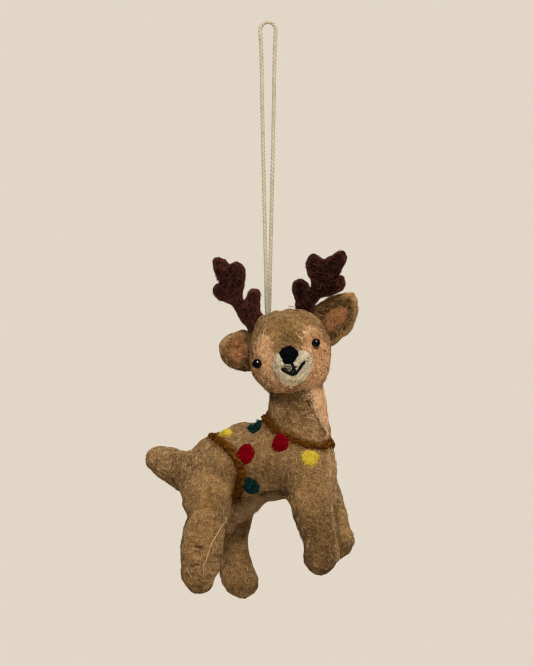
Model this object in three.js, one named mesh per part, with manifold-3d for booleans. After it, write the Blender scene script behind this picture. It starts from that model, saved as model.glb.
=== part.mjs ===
// Stuffed wool-felt reindeer ornament with a felt bulb garland, hanging from a cotton cord loop.
// Frame: millimetres, +Z up. Origin at the inside top of the hanging loop, where it bears
// on whatever carries it. +X is the animal's heading (tail to chest), +Y its left side.
import * as THREE from 'three';
import { mergeVertices } from 'three/addons/utils/BufferGeometryUtils.js';
import { ConvexGeometry } from 'three/addons/geometries/ConvexGeometry.js';
import Module from 'manifold-3d';

// ---------------------------------------------------------------- driving dimensions (mm, degrees)
const HEAD_TURN = 28;        // the face looks this far off the -Y side, toward the chest
const FELT = 1.8;            // wall thickness of the felt covers
const GAP = 0.3;             // clearance between neighbouring pieces
const CORD_D = 1.6;          // cotton hanging cord
const BIGHT_R = 3.3;         // centreline radius of the loop over its hanger
const LOOP_END_Z = -113.6;   // where the two strands of the loop end and are plied together
const STRAND_HALF_END = 1.0; // half spacing of the strands there
const SHANK = { r: 1.25, top: -115.3, bottom: -118.2 };   // plied pair, upper bit (ball ended)
const CORD_END = { r: 1.2, top: -120.95, bottom: -123.7 }; // plied pair, lower bit (ball ended)
const KNOT = { at: [1.5, -0.3, -132.6], r: 2.3, stubR: 1.0, stubTop: -126.4 };
const CORD_HOLE_R = 1.4;
const NECK_HOLE_R = 7.5;     // opening of the head cover toward the neck
const YARN_R = 1.15;         // garland yarn
const BULB_R = 3.5;          // garland felt dots
const BULB_RISE = 1.7;
const EYE_R = 2.0;
const THREAD_R = 0.45;
const ANTLER = { thick: 4.4, depth: 3.7, bevel: 1.3 };
const EAR = { thick: 3.2, depth: -1.7, bevel: 1.0 };
const LINING_T = 0.9;
const NOSE = { u: 8.9, v: -142.4, d: 22.0, rx: 3.9, ry: 3.5, rz: 2.8 };
const BIB = [[0, -178.2], [3.4, -171.5], [7.2, -161.5], [8.6, -150], [-8.6, -150], [-7.2, -161.5], [-3.4, -171.5]]; // Y,Z outline
const GUSSET = { rear: -14, front: 20, halfRear: 11, halfFront: 8.5, top: -201.5 };

// Spines of the stuffed body: [X, Y, Z, radius]
const TORSO = [[-28.9, 0, -194.4, 15.3], [-12.2, 0, -189.3, 17.2], [4.4, 0, -188.6, 15.9], [15.0, 0, -188.4, 15.5]];
const NECK = [[15.0, 0, -186.2, 14.2], [14.3, 0, -172.2, 13.3], [14.3, 0, -161.5, 11.8], [13.5, 0, -152.9, 11.6]];
const WITHERS = [[-4, 0, -183.5, 11.2], [6, 0, -178.3, 10.9]];
const TAIL = [[-31.1, 0, -194.9, 11.2], [-42.2, 0, -193.2, 8.4], [-53.5, 0, -188.9, 6.2]];
const LEGS = {
  hind_right: [[-22.9, -11.0, -201.3, 10.3], [-25.5, -13.5, -217.6, 8.6], [-26.4, -13.5, -237.4, 7.5]],
  hind_left: [[-20.2, 10.0, -202.6, 9.5], [-25.1, 12.5, -220.5, 6.9], [-22.8, 12.5, -231.0, 7.1], [-20.6, 12.5, -241.4, 8.0]],
  front_right: [[23.4, -8.0, -194.0, 11.2], [27.4, -10.5, -209.3, 8.6], [30.7, -10.5, -226.6, 7.3]],
  front_left: [[20.0, 8.0, -195.1, 9.5], [23.6, 10.5, -209.7, 8.0], [27.4, 10.5, -220.3, 8.2]],
};
const HEAD = [
  [[10.2, 0.9, -138.9, 16.1]],
  [[6.0, -1.3, -136.5, 12.5], [12.8, 2.3, -137.2, 14.2]],
  [[7.2, -3.0, -145.9, 12.9], [15.3, 1.3, -144.0, 12.7]],
];
// Muzzle bulge in face coordinates: [u right, v up, d forward, radius]
const MUZZLE = [[7.3, -147.8, 17.4, 6.1], [13.6, -146.3, 17.4, 6.1], [10.7, -150.3, 17.0, 6.0]];

// Face-plane outlines, [u, v]: u to the viewer's right, v up
const ANTLER_RIGHT = [[-23.3, -100.7], [-20.6, -100.7], [-15.9, -102.9], [-13.5, -102.2], [-10.2, -104.8], [-9.9, -110.6], [-10.7, -118.7], [-8.1, -114.9], [-5.6, -113.8], [-3.4, -115.3], [-3.3, -120.9], [-3.6, -125.4], [-5.1, -132.4], [-8.1, -133.3], [-10.3, -129.0], [-13.9, -122.6], [-15.9, -120.0], [-19.7, -119.2], [-23.6, -115.7], [-23.7, -114.0], [-21.4, -111.0], [-22.7, -106.1], [-23.7, -103.1]];
const ANTLER_LEFT = [[13.2, -109.4], [10.4, -112.3], [10.6, -114.9], [12.3, -119.2], [11.7, -121.7], [11.6, -126.4], [15.9, -127.3], [18.4, -121.7], [21.0, -118.3], [24.6, -117.0], [29.4, -116.0], [33.1, -113.2], [33.3, -110.2], [31.6, -107.9], [32.9, -104.8], [33.8, -99.6], [31.4, -97.4], [28.5, -98.5], [23.7, -101.2], [19.6, -98.7], [16.7, -100.9], [16.1, -103.9], [18.4, -107.9], [18.9, -110.6], [18.0, -112.3], [17.1, -110.5]];
const EAR_RIGHT = [[-5.2, -133.7], [-8.2, -131.6], [-12.2, -132.0], [-18.3, -134.6], [-21.2, -139.3], [-19.7, -143.8], [-14.4, -148.6], [-7.8, -149.1], [-4.3, -145.4]];
const EAR_LEFT = [[18.1, -123.0], [23.9, -118.7], [31.0, -116.3], [36.2, -115.5], [38.3, -118.2], [38.8, -121.7], [36.6, -130.7], [32.2, -135.0], [27.3, -137.9], [23.3, -138.5]];
const LINING_RIGHT = [[-9.5, -136.3], [-12.9, -136.3], [-16.3, -138.9], [-16.3, -141.9], [-13.8, -144.0], [-9.9, -142.8]];
const LINING_LEFT = [[24.1, -124.3], [29.2, -121.5], [33.3, -120.8], [33.9, -124.3], [31.8, -129.4], [27.5, -132.0], [24.5, -129.4]];
const FACE_MASK = [[-7.7, -135.4], [-4.3, -133.3], [-0.9, -133.3], [1.7, -135.8], [3.4, -141.0], [6.8, -146.9], [12.8, -145.2], [13.6, -139.3], [13.4, -134.1], [14.5, -129.9], [18.3, -128.4], [22.1, -130.7], [28.1, -138.0], [29.4, -145.2], [27.2, -155.4], [23.0, -160.5], [11.5, -162.2], [-0.9, -160.1], [-8.5, -153.7], [-11.1, -144.4]];
const SMILE = [[5.6, -147.6], [7.6, -149.1], [10.1, -149.9], [12.6, -148.4], [15.4, -145.2]];
const EYES = { right: [3.1, -15.5, -145.8], left: [26.1, -6.0, -137.0] };

// Garland yarn centrelines on the body
const YARN_NECK = [[31.3, 0.0, -180.3], [30.7, -3.9, -179.9], [29.3, -7.6, -180.0], [27.1, -10.8, -179.7], [24.1, -13.3, -179.3], [20.7, -14.7, -178.3], [17.4, -15.0, -176.1], [13.7, -14.9, -174.9], [10.0, -14.2, -173.9], [6.5, -12.6, -172.8], [3.7, -10.4, -171.1], [1.5, -7.4, -169.9], [-0.2, -3.9, -169.3], [-0.8, 0.0, -169.1], [-0.2, 3.9, -169.3], [1.5, 7.4, -169.9], [3.7, 10.4, -171.1], [6.5, 12.6, -172.8], [10.0, 14.2, -173.9], [13.7, 14.9, -174.9], [17.4, 15.0, -176.0], [20.7, 14.7, -178.3], [24.1, 13.3, -179.4], [27.0, 10.8, -179.7], [29.3, 7.6, -180.0], [30.7, 3.9, -179.9], [31.0, 2.2, -180.1]];
const YARN_WAIST = [[-11.0, -9.2, -205.2], [-9.0, -12.1, -202.2], [-7.0, -14.6, -198.8], [-5.3, -16.4, -194.9], [-4.3, -17.2, -190.5], [-6.2, -17.2, -186.3], [-8.9, -16.4, -182.7], [-12.7, -15.4, -180.3], [-16.5, -13.5, -178.4], [-20.1, -10.8, -177.4], [-23.8, -8.0, -177.0], [-26.8, -4.4, -176.8], [-28.0, 0.0, -176.7], [-26.8, 4.4, -176.8], [-23.8, 8.0, -177.0], [-20.2, 10.8, -177.4], [-16.5, 13.5, -178.4], [-12.7, 15.4, -180.3], [-8.9, 16.4, -182.7], [-6.2, 17.2, -186.3], [-4.3, 17.2, -190.5], [-5.3, 16.4, -194.9], [-6.9, 14.6, -198.8], [-8.5, 12.3, -202.5], [-9.8, 9.3, -205.8]];
// Felt dots: name, colour, centre on the surface, outward normal
const BULBS = [
  ['bulb_red_flank_right', 0xa00a22, [-2.3, -15.7, -184.0], [0.07, -0.95, 0.30]],
  ['bulb_red_shoulder_right', 0xa00a22, [14.4, -15.4, -179.1], [0.0, -0.96, 0.27]],
  ['bulb_yellow_chest_right', 0xd8cf3c, [27.4, -14.0, -185.1], [0.47, -0.62, 0.63]],
  ['bulb_green_flank_right', 0x0d3d3c, [-0.9, -13.7, -197.7], [0.10, -0.84, -0.54]],
  ['bulb_green_back', 0x0d3d3c, [-4.5, -3.4, -172.6], [-0.14, -0.23, 0.96]],
  ['bulb_yellow_back', 0xd8cf3c, [-15.1, -10.5, -176.0], [-0.16, -0.61, 0.78]],
  ['bulb_yellow_flank_left', 0xd8cf3c, [-2.3, 15.7, -184.0], [0.07, 0.95, 0.30]],
  ['bulb_green_shoulder_left', 0x0d3d3c, [14.4, 15.4, -179.1], [0.0, 0.96, 0.27]],
  ['bulb_red_chest_left', 0xa00a22, [26.6, 12.2, -185.4], [0.68, 0.69, 0.24]],
  ['bulb_red_flank_left', 0xa00a22, [-0.9, 13.7, -197.7], [0.10, 0.84, -0.54]],
];

// ---------------------------------------------------------------- helpers
const wasm = await Module();
wasm.setup();

const TURN = THREE.MathUtils.degToRad(HEAD_TURN);
const FACE_RIGHT = new THREE.Vector3(Math.cos(TURN), Math.sin(TURN), 0);
const UP = new THREE.Vector3(0, 0, 1);
const FACE_OUT = new THREE.Vector3(Math.sin(TURN), -Math.cos(TURN), 0);
const FACE_MATRIX = new THREE.Matrix4().makeBasis(FACE_RIGHT, UP, FACE_OUT);
const face = (u, v, d) => new THREE.Vector3(u, v, d).applyMatrix4(FACE_MATRIX);

function solid(geometry) {
  const g = geometry.clone();
  for (const key of Object.keys(g.attributes)) if (key !== 'position') g.deleteAttribute(key);
  const m = mergeVertices(g, 1e-4);
  const tri = [];
  const ix = m.index.array;
  for (let i = 0; i < ix.length; i += 3) {
    if (ix[i] !== ix[i + 1] && ix[i + 1] !== ix[i + 2] && ix[i] !== ix[i + 2]) tri.push(ix[i], ix[i + 1], ix[i + 2]);
  }
  return new wasm.Manifold(new wasm.Mesh({
    numProp: 3,
    vertProperties: new Float32Array(m.attributes.position.array),
    triVerts: new Uint32Array(tri),
  }));
}

function toGeometry(manifold) {
  const mesh = manifold.getMesh();
  const g = new THREE.BufferGeometry();
  g.setAttribute('position', new THREE.BufferAttribute(new Float32Array(mesh.vertProperties), 3));
  g.setIndex(new THREE.BufferAttribute(new Uint32Array(mesh.triVerts), 1));
  g.computeVertexNormals();
  return g;
}

const join = (list) => list.reduce((a, b) => a.add(b));

function ball(c, r, seg = 10, rings = 7) {
  const g = new THREE.SphereGeometry(r, seg, rings);
  g.rotateX(Math.PI / 2);
  g.translate(c[0], c[1], c[2]);
  return g;
}

function vertices(g) {
  const p = g.attributes.position;
  const out = [];
  for (let i = 0; i < p.count; i++) out.push(new THREE.Vector3().fromBufferAttribute(p, i));
  return out;
}

// Round-ended cone between two balls
function cone(a, b, grow, seg, rings) {
  const pts = [...vertices(ball(a, a[3] + grow, seg, rings)), ...vertices(ball(b, b[3] + grow, seg, rings))];
  return solid(new ConvexGeometry(pts));
}

function spine(chain, grow = 0, seg = 11, rings = 7) {
  const parts = [];
  for (let i = 0; i + 1 < chain.length; i++) parts.push(cone(chain[i], chain[i + 1], grow, seg, rings));
  return join(parts);
}

function box(x0, x1, y0, y1, z0, z1) {
  const g = new THREE.BoxGeometry(x1 - x0, y1 - y0, z1 - z0);
  g.translate((x0 + x1) / 2, (y0 + y1) / 2, (z0 + z1) / 2);
  return solid(g);
}

function post(x, y, z0, z1, r, seg = 12) {
  const g = new THREE.CylinderGeometry(r, r, z1 - z0, seg);
  g.rotateX(Math.PI / 2);
  g.translate(x, y, (z0 + z1) / 2);
  return solid(g);
}

// Ball-ended rod along Z
function rod(r, z0, z1, seg = 8) {
  const g = new THREE.CapsuleGeometry(r, z1 - z0, 3, seg);
  g.rotateX(Math.PI / 2);
  g.translate(0, 0, (z0 + z1) / 2);
  return g;
}

function smoothOutline(points, n) {
  const curve = new THREE.CatmullRomCurve3(points.map(([u, v]) => new THREE.Vector3(u, v, 0)), true, 'centripetal');
  return new THREE.Shape(curve.getSpacedPoints(n).slice(0, n).map((p) => new THREE.Vector2(p.x, p.y)));
}

// Pillow-edged plate cut to a face-plane outline
function plate(points, n, thick, depth, bevel) {
  const g = new THREE.ExtrudeGeometry(smoothOutline(points, n), {
    depth: thick - 2 * bevel, steps: 1, bevelEnabled: true, bevelThickness: bevel, bevelSize: bevel, bevelOffset: -bevel, bevelSegments: 1,
  });
  g.translate(0, 0, depth - thick / 2 + bevel);
  g.applyMatrix4(FACE_MATRIX);
  return solid(g);
}

// Straight-sided prism through the face, its outline grown by `grow`
function prism(points, d0, d1, grow) {
  const shape = new THREE.Shape(points.map(([u, v]) => new THREE.Vector2(u, v)));
  const g = new THREE.ExtrudeGeometry(shape, grow > 0
    ? { depth: d1 - d0, bevelEnabled: true, bevelThickness: 0.05, bevelSize: grow, bevelSegments: 1 }
    : { depth: d1 - d0, bevelEnabled: false });
  g.translate(0, 0, d0);
  g.applyMatrix4(FACE_MATRIX);
  return solid(g);
}

function roundSection(r, sides) {
  const s = new THREE.Shape();
  for (let i = 0; i < sides; i++) {
    const a = (2 * Math.PI * i) / sides;
    if (i === 0) s.moveTo(r * Math.cos(a), r * Math.sin(a)); else s.lineTo(r * Math.cos(a), r * Math.sin(a));
  }
  s.closePath();
  return s;
}

function tube(points, r, sides, steps) {
  const path = new THREE.CatmullRomCurve3(points, false, 'centripetal');
  return new THREE.ExtrudeGeometry(roundSection(r, sides), { steps, extrudePath: path, bevelEnabled: false });
}

const part = new THREE.Group();
part.name = 'reindeer_ornament';
function add(name, what, color, roughness, metalness = 0) {
  const geometry = what.isBufferGeometry ? what : toGeometry(what);
  const mesh = new THREE.Mesh(geometry, new THREE.MeshStandardMaterial({ color, roughness, metalness }));
  mesh.name = name;
  part.add(mesh);
}

const BROWN = 0x8a6a42;
const PEACH = 0xc99468;
const CREAM = 0xd9d2bd;
const ANTLER_BROWN = 0x35181a;
const RUST = 0xa5653f;
const YARN_BROWN = 0x5d3513;
const WOOL = 0xded8c8;
const COTTON = 0xcabd9c;
const BLACK = 0x0b0b0d;

// ---------------------------------------------------------------- body
const torsoGroup = (grow) => join([spine(TORSO, grow), spine(WITHERS, grow), spine(NECK, grow), spine(TAIL, grow)]);
const headSolid = (grow) => solid(new ConvexGeometry(HEAD.flat().flatMap((c) => vertices(ball(c, c[3] + grow, 12, 8)))));

const torsoOuter = torsoGroup(0);
const torsoGrown = torsoGroup(GAP);
const headGrown = headSolid(GAP);
const torsoSkin = torsoOuter.subtract(torsoGroup(-FELT)).subtract(headGrown);

// Legs are felt socks closed at the foot and open where they are sewn to the body
const legOuter = {};
const legGrown = {};
for (const [name, chain] of Object.entries(LEGS)) {
  legOuter[name] = spine(chain, 0, 9, 6).subtract(torsoGrown);
  legGrown[name] = spine(chain, GAP, 9, 6);
}
legOuter.hind_left = legOuter.hind_left.subtract(legGrown.hind_right);
legOuter.front_left = legOuter.front_left.subtract(legGrown.front_right);
const allLegsGrown = join(Object.values(legGrown));
const bodyGrown = torsoGrown.add(allLegsGrown).add(headGrown);

const gussetPlan = (g) => {
  const { rear, front, halfRear, halfFront, top } = GUSSET;
  const s = new THREE.Shape([
    new THREE.Vector2(rear - g, -halfRear - g), new THREE.Vector2(front + g, -halfFront - g),
    new THREE.Vector2(front + g, halfFront + g), new THREE.Vector2(rear - g, halfRear + g)]);
  const e = new THREE.ExtrudeGeometry(s, { depth: 40, bevelEnabled: false });
  e.translate(0, 0, top + g - 40);
  return solid(e);
};
const bibPrism = (g) => {
  const shape = new THREE.Shape(BIB.map(([y, z]) => new THREE.Vector2(y, z)));
  const e = new THREE.ExtrudeGeometry(shape, g > 0
    ? { depth: 26, bevelEnabled: true, bevelThickness: 0.05, bevelSize: g, bevelSegments: 1 }
    : { depth: 26, bevelEnabled: false });
  e.applyMatrix4(new THREE.Matrix4().makeBasis(new THREE.Vector3(0, 1, 0), UP, new THREE.Vector3(1, 0, 0)));
  e.translate(15, 0, 0);
  return solid(e);
};

const sideSkin = torsoSkin.subtract(gussetPlan(GAP)).subtract(bibPrism(GAP));
add('body_cover_right', sideSkin.intersect(box(-80, 80, -60, -GAP / 2, -280, -60)), BROWN, 0.95);
add('body_cover_left', sideSkin.intersect(box(-80, 80, GAP / 2, 60, -280, -60)), BROWN, 0.95);
add('belly_gusset', torsoSkin.intersect(gussetPlan(0)), BROWN, 0.95);
add('chest_bib', torsoSkin.intersect(bibPrism(0)), PEACH, 0.95);
add('body_stuffing', torsoGroup(-FELT - GAP).subtract(headSolid(2 * GAP)), WOOL, 1.0);
for (const [name, chain] of Object.entries(LEGS)) {
  const inner = spine(chain, -FELT, 9, 6);
  add(`leg_cover_${name}`, legOuter[name].subtract(inner), BROWN, 0.95);
  let fill = spine(chain, -FELT - GAP, 9, 6).subtract(torsoGrown);
  if (name === 'hind_left') fill = fill.subtract(legGrown.hind_right);
  if (name === 'front_left') fill = fill.subtract(legGrown.front_right);
  add(`leg_stuffing_${name}`, fill, WOOL, 1.0);
}

// ---------------------------------------------------------------- head
const cordHole = post(0, 0, -134, -112, CORD_HOLE_R);
const neckHole = (() => {
  const g = new THREE.CylinderGeometry(NECK_HOLE_R, NECK_HOLE_R, 16, 14);
  g.rotateX(Math.PI / 2);
  g.translate(14, 0, -157);
  return solid(g);
})();
const eyeSockets = join(Object.values(EYES).map((c) => solid(ball(c, EYE_R + GAP, 10, 7))));
const eyeThreadPath = [new THREE.Vector3(...EYES.right), new THREE.Vector3(...EYES.left)];
const eyeMid = eyeThreadPath[0].clone().lerp(eyeThreadPath[1], 0.5).addScaledVector(FACE_OUT, -2);
const along = (a, b, t) => a.clone().lerp(b, t);
const threadEnds = [along(eyeThreadPath[0], eyeMid, 0.24), along(eyeThreadPath[1], eyeMid, 0.24)];
const eyeThread = (r, over) => {
  const a = along(threadEnds[0], eyeMid, -over);
  const b = along(threadEnds[1], eyeMid, -over);
  return solid(tube([a, eyeMid, b], r, 6, 6));
};
const headShell = headSolid(0).subtract(headSolid(-FELT)).subtract(cordHole).subtract(neckHole).subtract(eyeSockets).subtract(eyeThread(THREAD_R + GAP, 0.3));
add('head_cover', headShell.subtract(prism(FACE_MASK, 4.0, 60, GAP)), BROWN, 0.95);
add('face_mask', headShell.intersect(prism(FACE_MASK, 4.0 + GAP, 60, 0)), PEACH, 0.95);
const knotCavity = solid(ball(KNOT.at, KNOT.r + GAP, 8, 6)).add(cordHole);
add('head_stuffing', headSolid(-FELT - GAP).subtract(knotCavity).subtract(eyeSockets).subtract(eyeThread(THREAD_R + GAP, 0.3)), WOOL, 1.0);
add('eye_thread', eyeThread(THREAD_R, 0), BLACK, 0.8);
add('eye_bead_right', ball(EYES.right, EYE_R, 10, 7), BLACK, 0.12);
add('eye_bead_left', ball(EYES.left, EYE_R, 10, 7), BLACK, 0.12);

const muzzleAt = (grow) => {
  const pts = [];
  for (const [u, v, d, r] of MUZZLE) pts.push(...vertices(ball(face(u, v, d).toArray(), r + grow, 10, 7)));
  return solid(new ConvexGeometry(pts));
};
const noseSolid = (grow) => {
  const g = new THREE.SphereGeometry(1, 10, 7);
  g.scale(NOSE.rx + grow, NOSE.ry + grow, NOSE.rz + grow);
  g.translate(NOSE.u, NOSE.v, NOSE.d);
  g.applyMatrix4(FACE_MATRIX);
  return solid(g);
};
const smilePath = SMILE.map(([u, v]) => {
  // front of the muzzle's three-ball hull at this place, from the outermost ball or ball pair
  let d = 0;
  for (let i = 0; i < 3; i++) {
    for (let j = 0; j < 3; j++) {
      for (let t = 0; t <= 1; t += 0.1) {
        const [au, av, ad, ar] = MUZZLE[i];
        const [bu, bv, bd, br] = MUZZLE[j];
        const L = THREE.MathUtils.lerp;
        const q = L(ar, br, t) ** 2 - (u - L(au, bu, t)) ** 2 - (v - L(av, bv, t)) ** 2;
        if (q > 0) d = Math.max(d, L(ad, bd, t) + Math.sqrt(q));
      }
    }
  }
  return face(u, v, d + 0.05);
});
const smileGrown = solid(tube(smilePath, THREAD_R + GAP, 6, 10));
add('mouth_thread', solid(tube(smilePath, THREAD_R, 6, 10)).subtract(noseSolid(GAP)), BLACK, 0.85);
add('muzzle', muzzleAt(0).subtract(headGrown).subtract(torsoGrown).subtract(noseSolid(GAP)).subtract(smileGrown), CREAM, 0.95);
add('nose', noseSolid(0).subtract(headGrown), BLACK, 0.9);

// ---------------------------------------------------------------- antlers and ears
const antlerRight = plate(ANTLER_RIGHT, 36, ANTLER.thick, ANTLER.depth, ANTLER.bevel);
const antlerLeft = plate(ANTLER_LEFT, 38, ANTLER.thick, ANTLER.depth, ANTLER.bevel);
add('antler_right', antlerRight.subtract(headGrown), ANTLER_BROWN, 0.95);
add('antler_left', antlerLeft.subtract(headGrown), ANTLER_BROWN, 0.95);
add('ear_right', plate(EAR_RIGHT, 24, EAR.thick, EAR.depth, EAR.bevel).subtract(headGrown), BROWN, 0.95);
add('ear_left', plate(EAR_LEFT, 26, EAR.thick, EAR.depth, EAR.bevel).subtract(headGrown), BROWN, 0.95);
const liningDepth = EAR.depth + EAR.thick / 2 + GAP + LINING_T / 2;
add('ear_lining_right', plate(LINING_RIGHT, 16, LINING_T, liningDepth, 0.3).subtract(headGrown), RUST, 0.95);
add('ear_lining_left', plate(LINING_LEFT, 16, LINING_T, liningDepth, 0.3).subtract(headGrown), RUST, 0.95);

// ---------------------------------------------------------------- garland
const vec = (list) => list.map((p) => new THREE.Vector3(...p));
add('garland_yarn_neck', solid(tube(vec(YARN_NECK), YARN_R, 6, 30)).subtract(bodyGrown), YARN_BROWN, 0.9);
add('garland_yarn_waist', solid(tube(vec(YARN_WAIST), YARN_R, 6, 30)).subtract(bodyGrown), YARN_BROWN, 0.9);
const yarnGrown = solid(tube(vec(YARN_NECK), YARN_R + GAP, 6, 30)).add(solid(tube(vec(YARN_WAIST), YARN_R + GAP, 6, 30)));
for (const [name, color, c, n] of BULBS) {
  const g = new THREE.SphereGeometry(1, 10, 6);
  g.rotateX(Math.PI / 2);
  g.scale(BULB_R, BULB_R, BULB_RISE + 0.6);
  g.applyQuaternion(new THREE.Quaternion().setFromUnitVectors(UP, new THREE.Vector3(...n).normalize()));
  g.translate(c[0], c[1], c[2]);
  const pieces = solid(g).subtract(bodyGrown).subtract(yarnGrown).decompose();
  pieces.sort((a, b) => b.volume() - a.volume());
  add(name, pieces[0], color, 0.95);
}

// ---------------------------------------------------------------- hanging cord
const loopPts = [];
const leftSide = [];
const bightZ = -(BIGHT_R - CORD_D / 2);
const halfAt = (z) => {
  const t = (z - bightZ) / (LOOP_END_Z - bightZ);
  return THREE.MathUtils.lerp(BIGHT_R - 0.35 * Math.min(1, t * 12), STRAND_HALF_END, Math.pow(t, 0.9));
};
for (let i = 0; i <= 22; i++) {
  const z = THREE.MathUtils.lerp(LOOP_END_Z, bightZ, i / 22);
  leftSide.push([halfAt(z), z]);
}
for (const [h, z] of leftSide) loopPts.push(face(-h, z, 0));
for (let i = 1; i < 8; i++) {
  const a = Math.PI - (Math.PI * i) / 8;
  loopPts.push(face(BIGHT_R * Math.cos(a), bightZ + BIGHT_R * Math.sin(a), 0));
}
for (const [h, z] of [...leftSide].reverse()) loopPts.push(face(h, z, 0));
add('hang_cord_loop', tube(loopPts, CORD_D / 2, 8, 60), COTTON, 0.9);
add('hang_cord_shank', rod(SHANK.r, SHANK.bottom, SHANK.top), COTTON, 0.9);
add('hang_cord_end', rod(CORD_END.r, CORD_END.bottom, CORD_END.top), COTTON, 0.9);
add('hang_cord_knot', solid(ball(KNOT.at, KNOT.r, 8, 6)).add(post(0, 0, KNOT.at[2], KNOT.stubTop, KNOT.stubR, 10)), COTTON, 0.9);

export default part;
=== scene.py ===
import math
import bmesh
import bpy
import numpy as np
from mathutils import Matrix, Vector

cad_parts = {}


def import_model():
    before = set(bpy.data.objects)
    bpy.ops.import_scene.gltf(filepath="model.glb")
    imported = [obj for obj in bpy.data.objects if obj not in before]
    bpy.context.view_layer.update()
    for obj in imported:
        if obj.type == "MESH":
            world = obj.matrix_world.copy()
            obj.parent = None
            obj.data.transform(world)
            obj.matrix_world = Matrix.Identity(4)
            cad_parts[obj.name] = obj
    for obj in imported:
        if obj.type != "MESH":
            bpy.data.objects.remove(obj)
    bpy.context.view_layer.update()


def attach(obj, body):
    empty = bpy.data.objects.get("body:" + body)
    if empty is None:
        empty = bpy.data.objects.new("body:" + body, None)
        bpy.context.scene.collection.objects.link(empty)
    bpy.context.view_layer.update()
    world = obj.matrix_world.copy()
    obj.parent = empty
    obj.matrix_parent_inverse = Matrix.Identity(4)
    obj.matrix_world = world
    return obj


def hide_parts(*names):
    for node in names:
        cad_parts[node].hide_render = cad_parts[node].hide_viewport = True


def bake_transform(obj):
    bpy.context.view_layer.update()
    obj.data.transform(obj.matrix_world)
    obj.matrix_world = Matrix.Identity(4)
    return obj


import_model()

MM = 0.001
F = np.float32

# ------------------------------------------------------------------ face frame: u right, v up, d toward the viewer (mm)
TURN = math.radians(28.0)
RIGHT = np.array([math.cos(TURN), math.sin(TURN), 0.0])
OUT = np.array([math.sin(TURN), -math.cos(TURN), 0.0])
UPV = np.array([0.0, 0.0, 1.0])
SCALE = 0.43          # mm per image unit at the hanging axis
CAM_D = 950.0         # camera distance from the hanging axis, mm
U0, V0 = (268.0 - 266.5) * SCALE, (333.0 - 24.0) * SCALE


def uv(px, py, d=0.0):
    """Image units to face-plane millimetres at depth d."""
    f = (CAM_D - d) / CAM_D
    return (px - 266.5) * SCALE * f - U0, (333.0 - py) * SCALE * f - V0


def px_of(P):
    """Image place and depth of points."""
    u, v, d = P @ RIGHT.astype(F), P[..., 2], P @ OUT.astype(F)
    f = SCALE * (CAM_D - d) / CAM_D
    return (u + U0) / f + 266.5, 333.0 - (v + V0) / f, d


def world(u, v, d):
    u, v, d = np.asarray(u, float), np.asarray(v, float), np.asarray(d, float)
    return u[..., None] * RIGHT + v[..., None] * UPV + d[..., None] * OUT


def at(px, py, d):
    u, v = uv(px, py, d)
    return world(u, v, d)


def on_mid(px, py, y):
    """The point at sideways place y (mm) that shows at image place px, py."""
    d = 0.0
    for _ in range(12):
        u, v = uv(px, py, d)
        x = (u - y * RIGHT[1]) / RIGHT[0]
        d = x * OUT[0] + y * OUT[1]
    return np.array([x, y, v])


# ------------------------------------------------------------------ camera
cam_data = bpy.data.cameras.new("camera")
cam = bpy.data.objects.new("camera", cam_data)
bpy.context.scene.collection.objects.link(cam)
cam_data.sensor_fit = "VERTICAL"
cam_data.sensor_height = 36.0
cam_data.lens = 36.0 * CAM_D / (666.0 * SCALE)
cam_data.clip_start = 0.01
cam_data.clip_end = 50.0
cam.location = Vector(world(-U0, -V0, CAM_D) * MM)
cam.rotation_euler = Vector(-OUT).to_track_quat("-Z", "Y").to_euler()
bpy.context.scene.camera = cam


# ------------------------------------------------------------------ node helpers
def material(name):
    m = bpy.data.materials.new(name)
    m.use_nodes = True
    nt = m.node_tree
    return m, nt, nt.nodes["Principled BSDF"]


def srgb(h):
    c = [int(h[i:i + 2], 16) / 255.0 for i in (0, 2, 4)]
    return tuple(x / 12.92 if x <= 0.04045 else ((x + 0.055) / 1.055) ** 2.4 for x in c) + (1.0,)


def noise(nt, coord, scale, detail=4.0, rough=0.55, distort=0.0):
    n = nt.nodes.new("ShaderNodeTexNoise")
    n.inputs["Scale"].default_value = scale
    n.inputs["Detail"].default_value = detail
    n.inputs["Roughness"].default_value = rough
    n.inputs["Distortion"].default_value = distort
    nt.links.new(coord, n.inputs["Vector"])
    return n.outputs["Fac"]


def ramp(nt, fac, stops):
    r = nt.nodes.new("ShaderNodeValToRGB")
    el = r.color_ramp.elements
    while len(el) < len(stops):
        el.new(0.5)
    for e, (p, c) in zip(el, stops):
        e.position = p
        e.color = (c, c, c, 1.0) if isinstance(c, (int, float)) else c
    nt.links.new(fac, r.inputs["Fac"])
    return r.outputs["Color"]


def mix(nt, fac, a, b, mode="MIX"):
    m = nt.nodes.new("ShaderNodeMix")
    m.data_type = "RGBA"
    m.blend_type = mode
    for sock, val in ((m.inputs[0], fac), (m.inputs[6], a), (m.inputs[7], b)):
        if hasattr(val, "is_linked"):
            nt.links.new(val, sock)
        else:
            sock.default_value = val
    return m.outputs[2]


def calc(nt, op, a, b):
    m = nt.nodes.new("ShaderNodeMath")
    m.operation = op
    for sock, val in ((m.inputs[0], a), (m.inputs[1], b)):
        if hasattr(val, "is_linked"):
            nt.links.new(val, sock)
        else:
            sock.default_value = val
    return m.outputs[0]


def bump(nt, bsdf, height, strength, dist):
    b = nt.nodes.new("ShaderNodeBump")
    b.inputs["Strength"].default_value = strength
    b.inputs["Distance"].default_value = dist
    nt.links.new(height, b.inputs["Height"])
    nt.links.new(b.outputs["Normal"], bsdf.inputs["Normal"])


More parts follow.
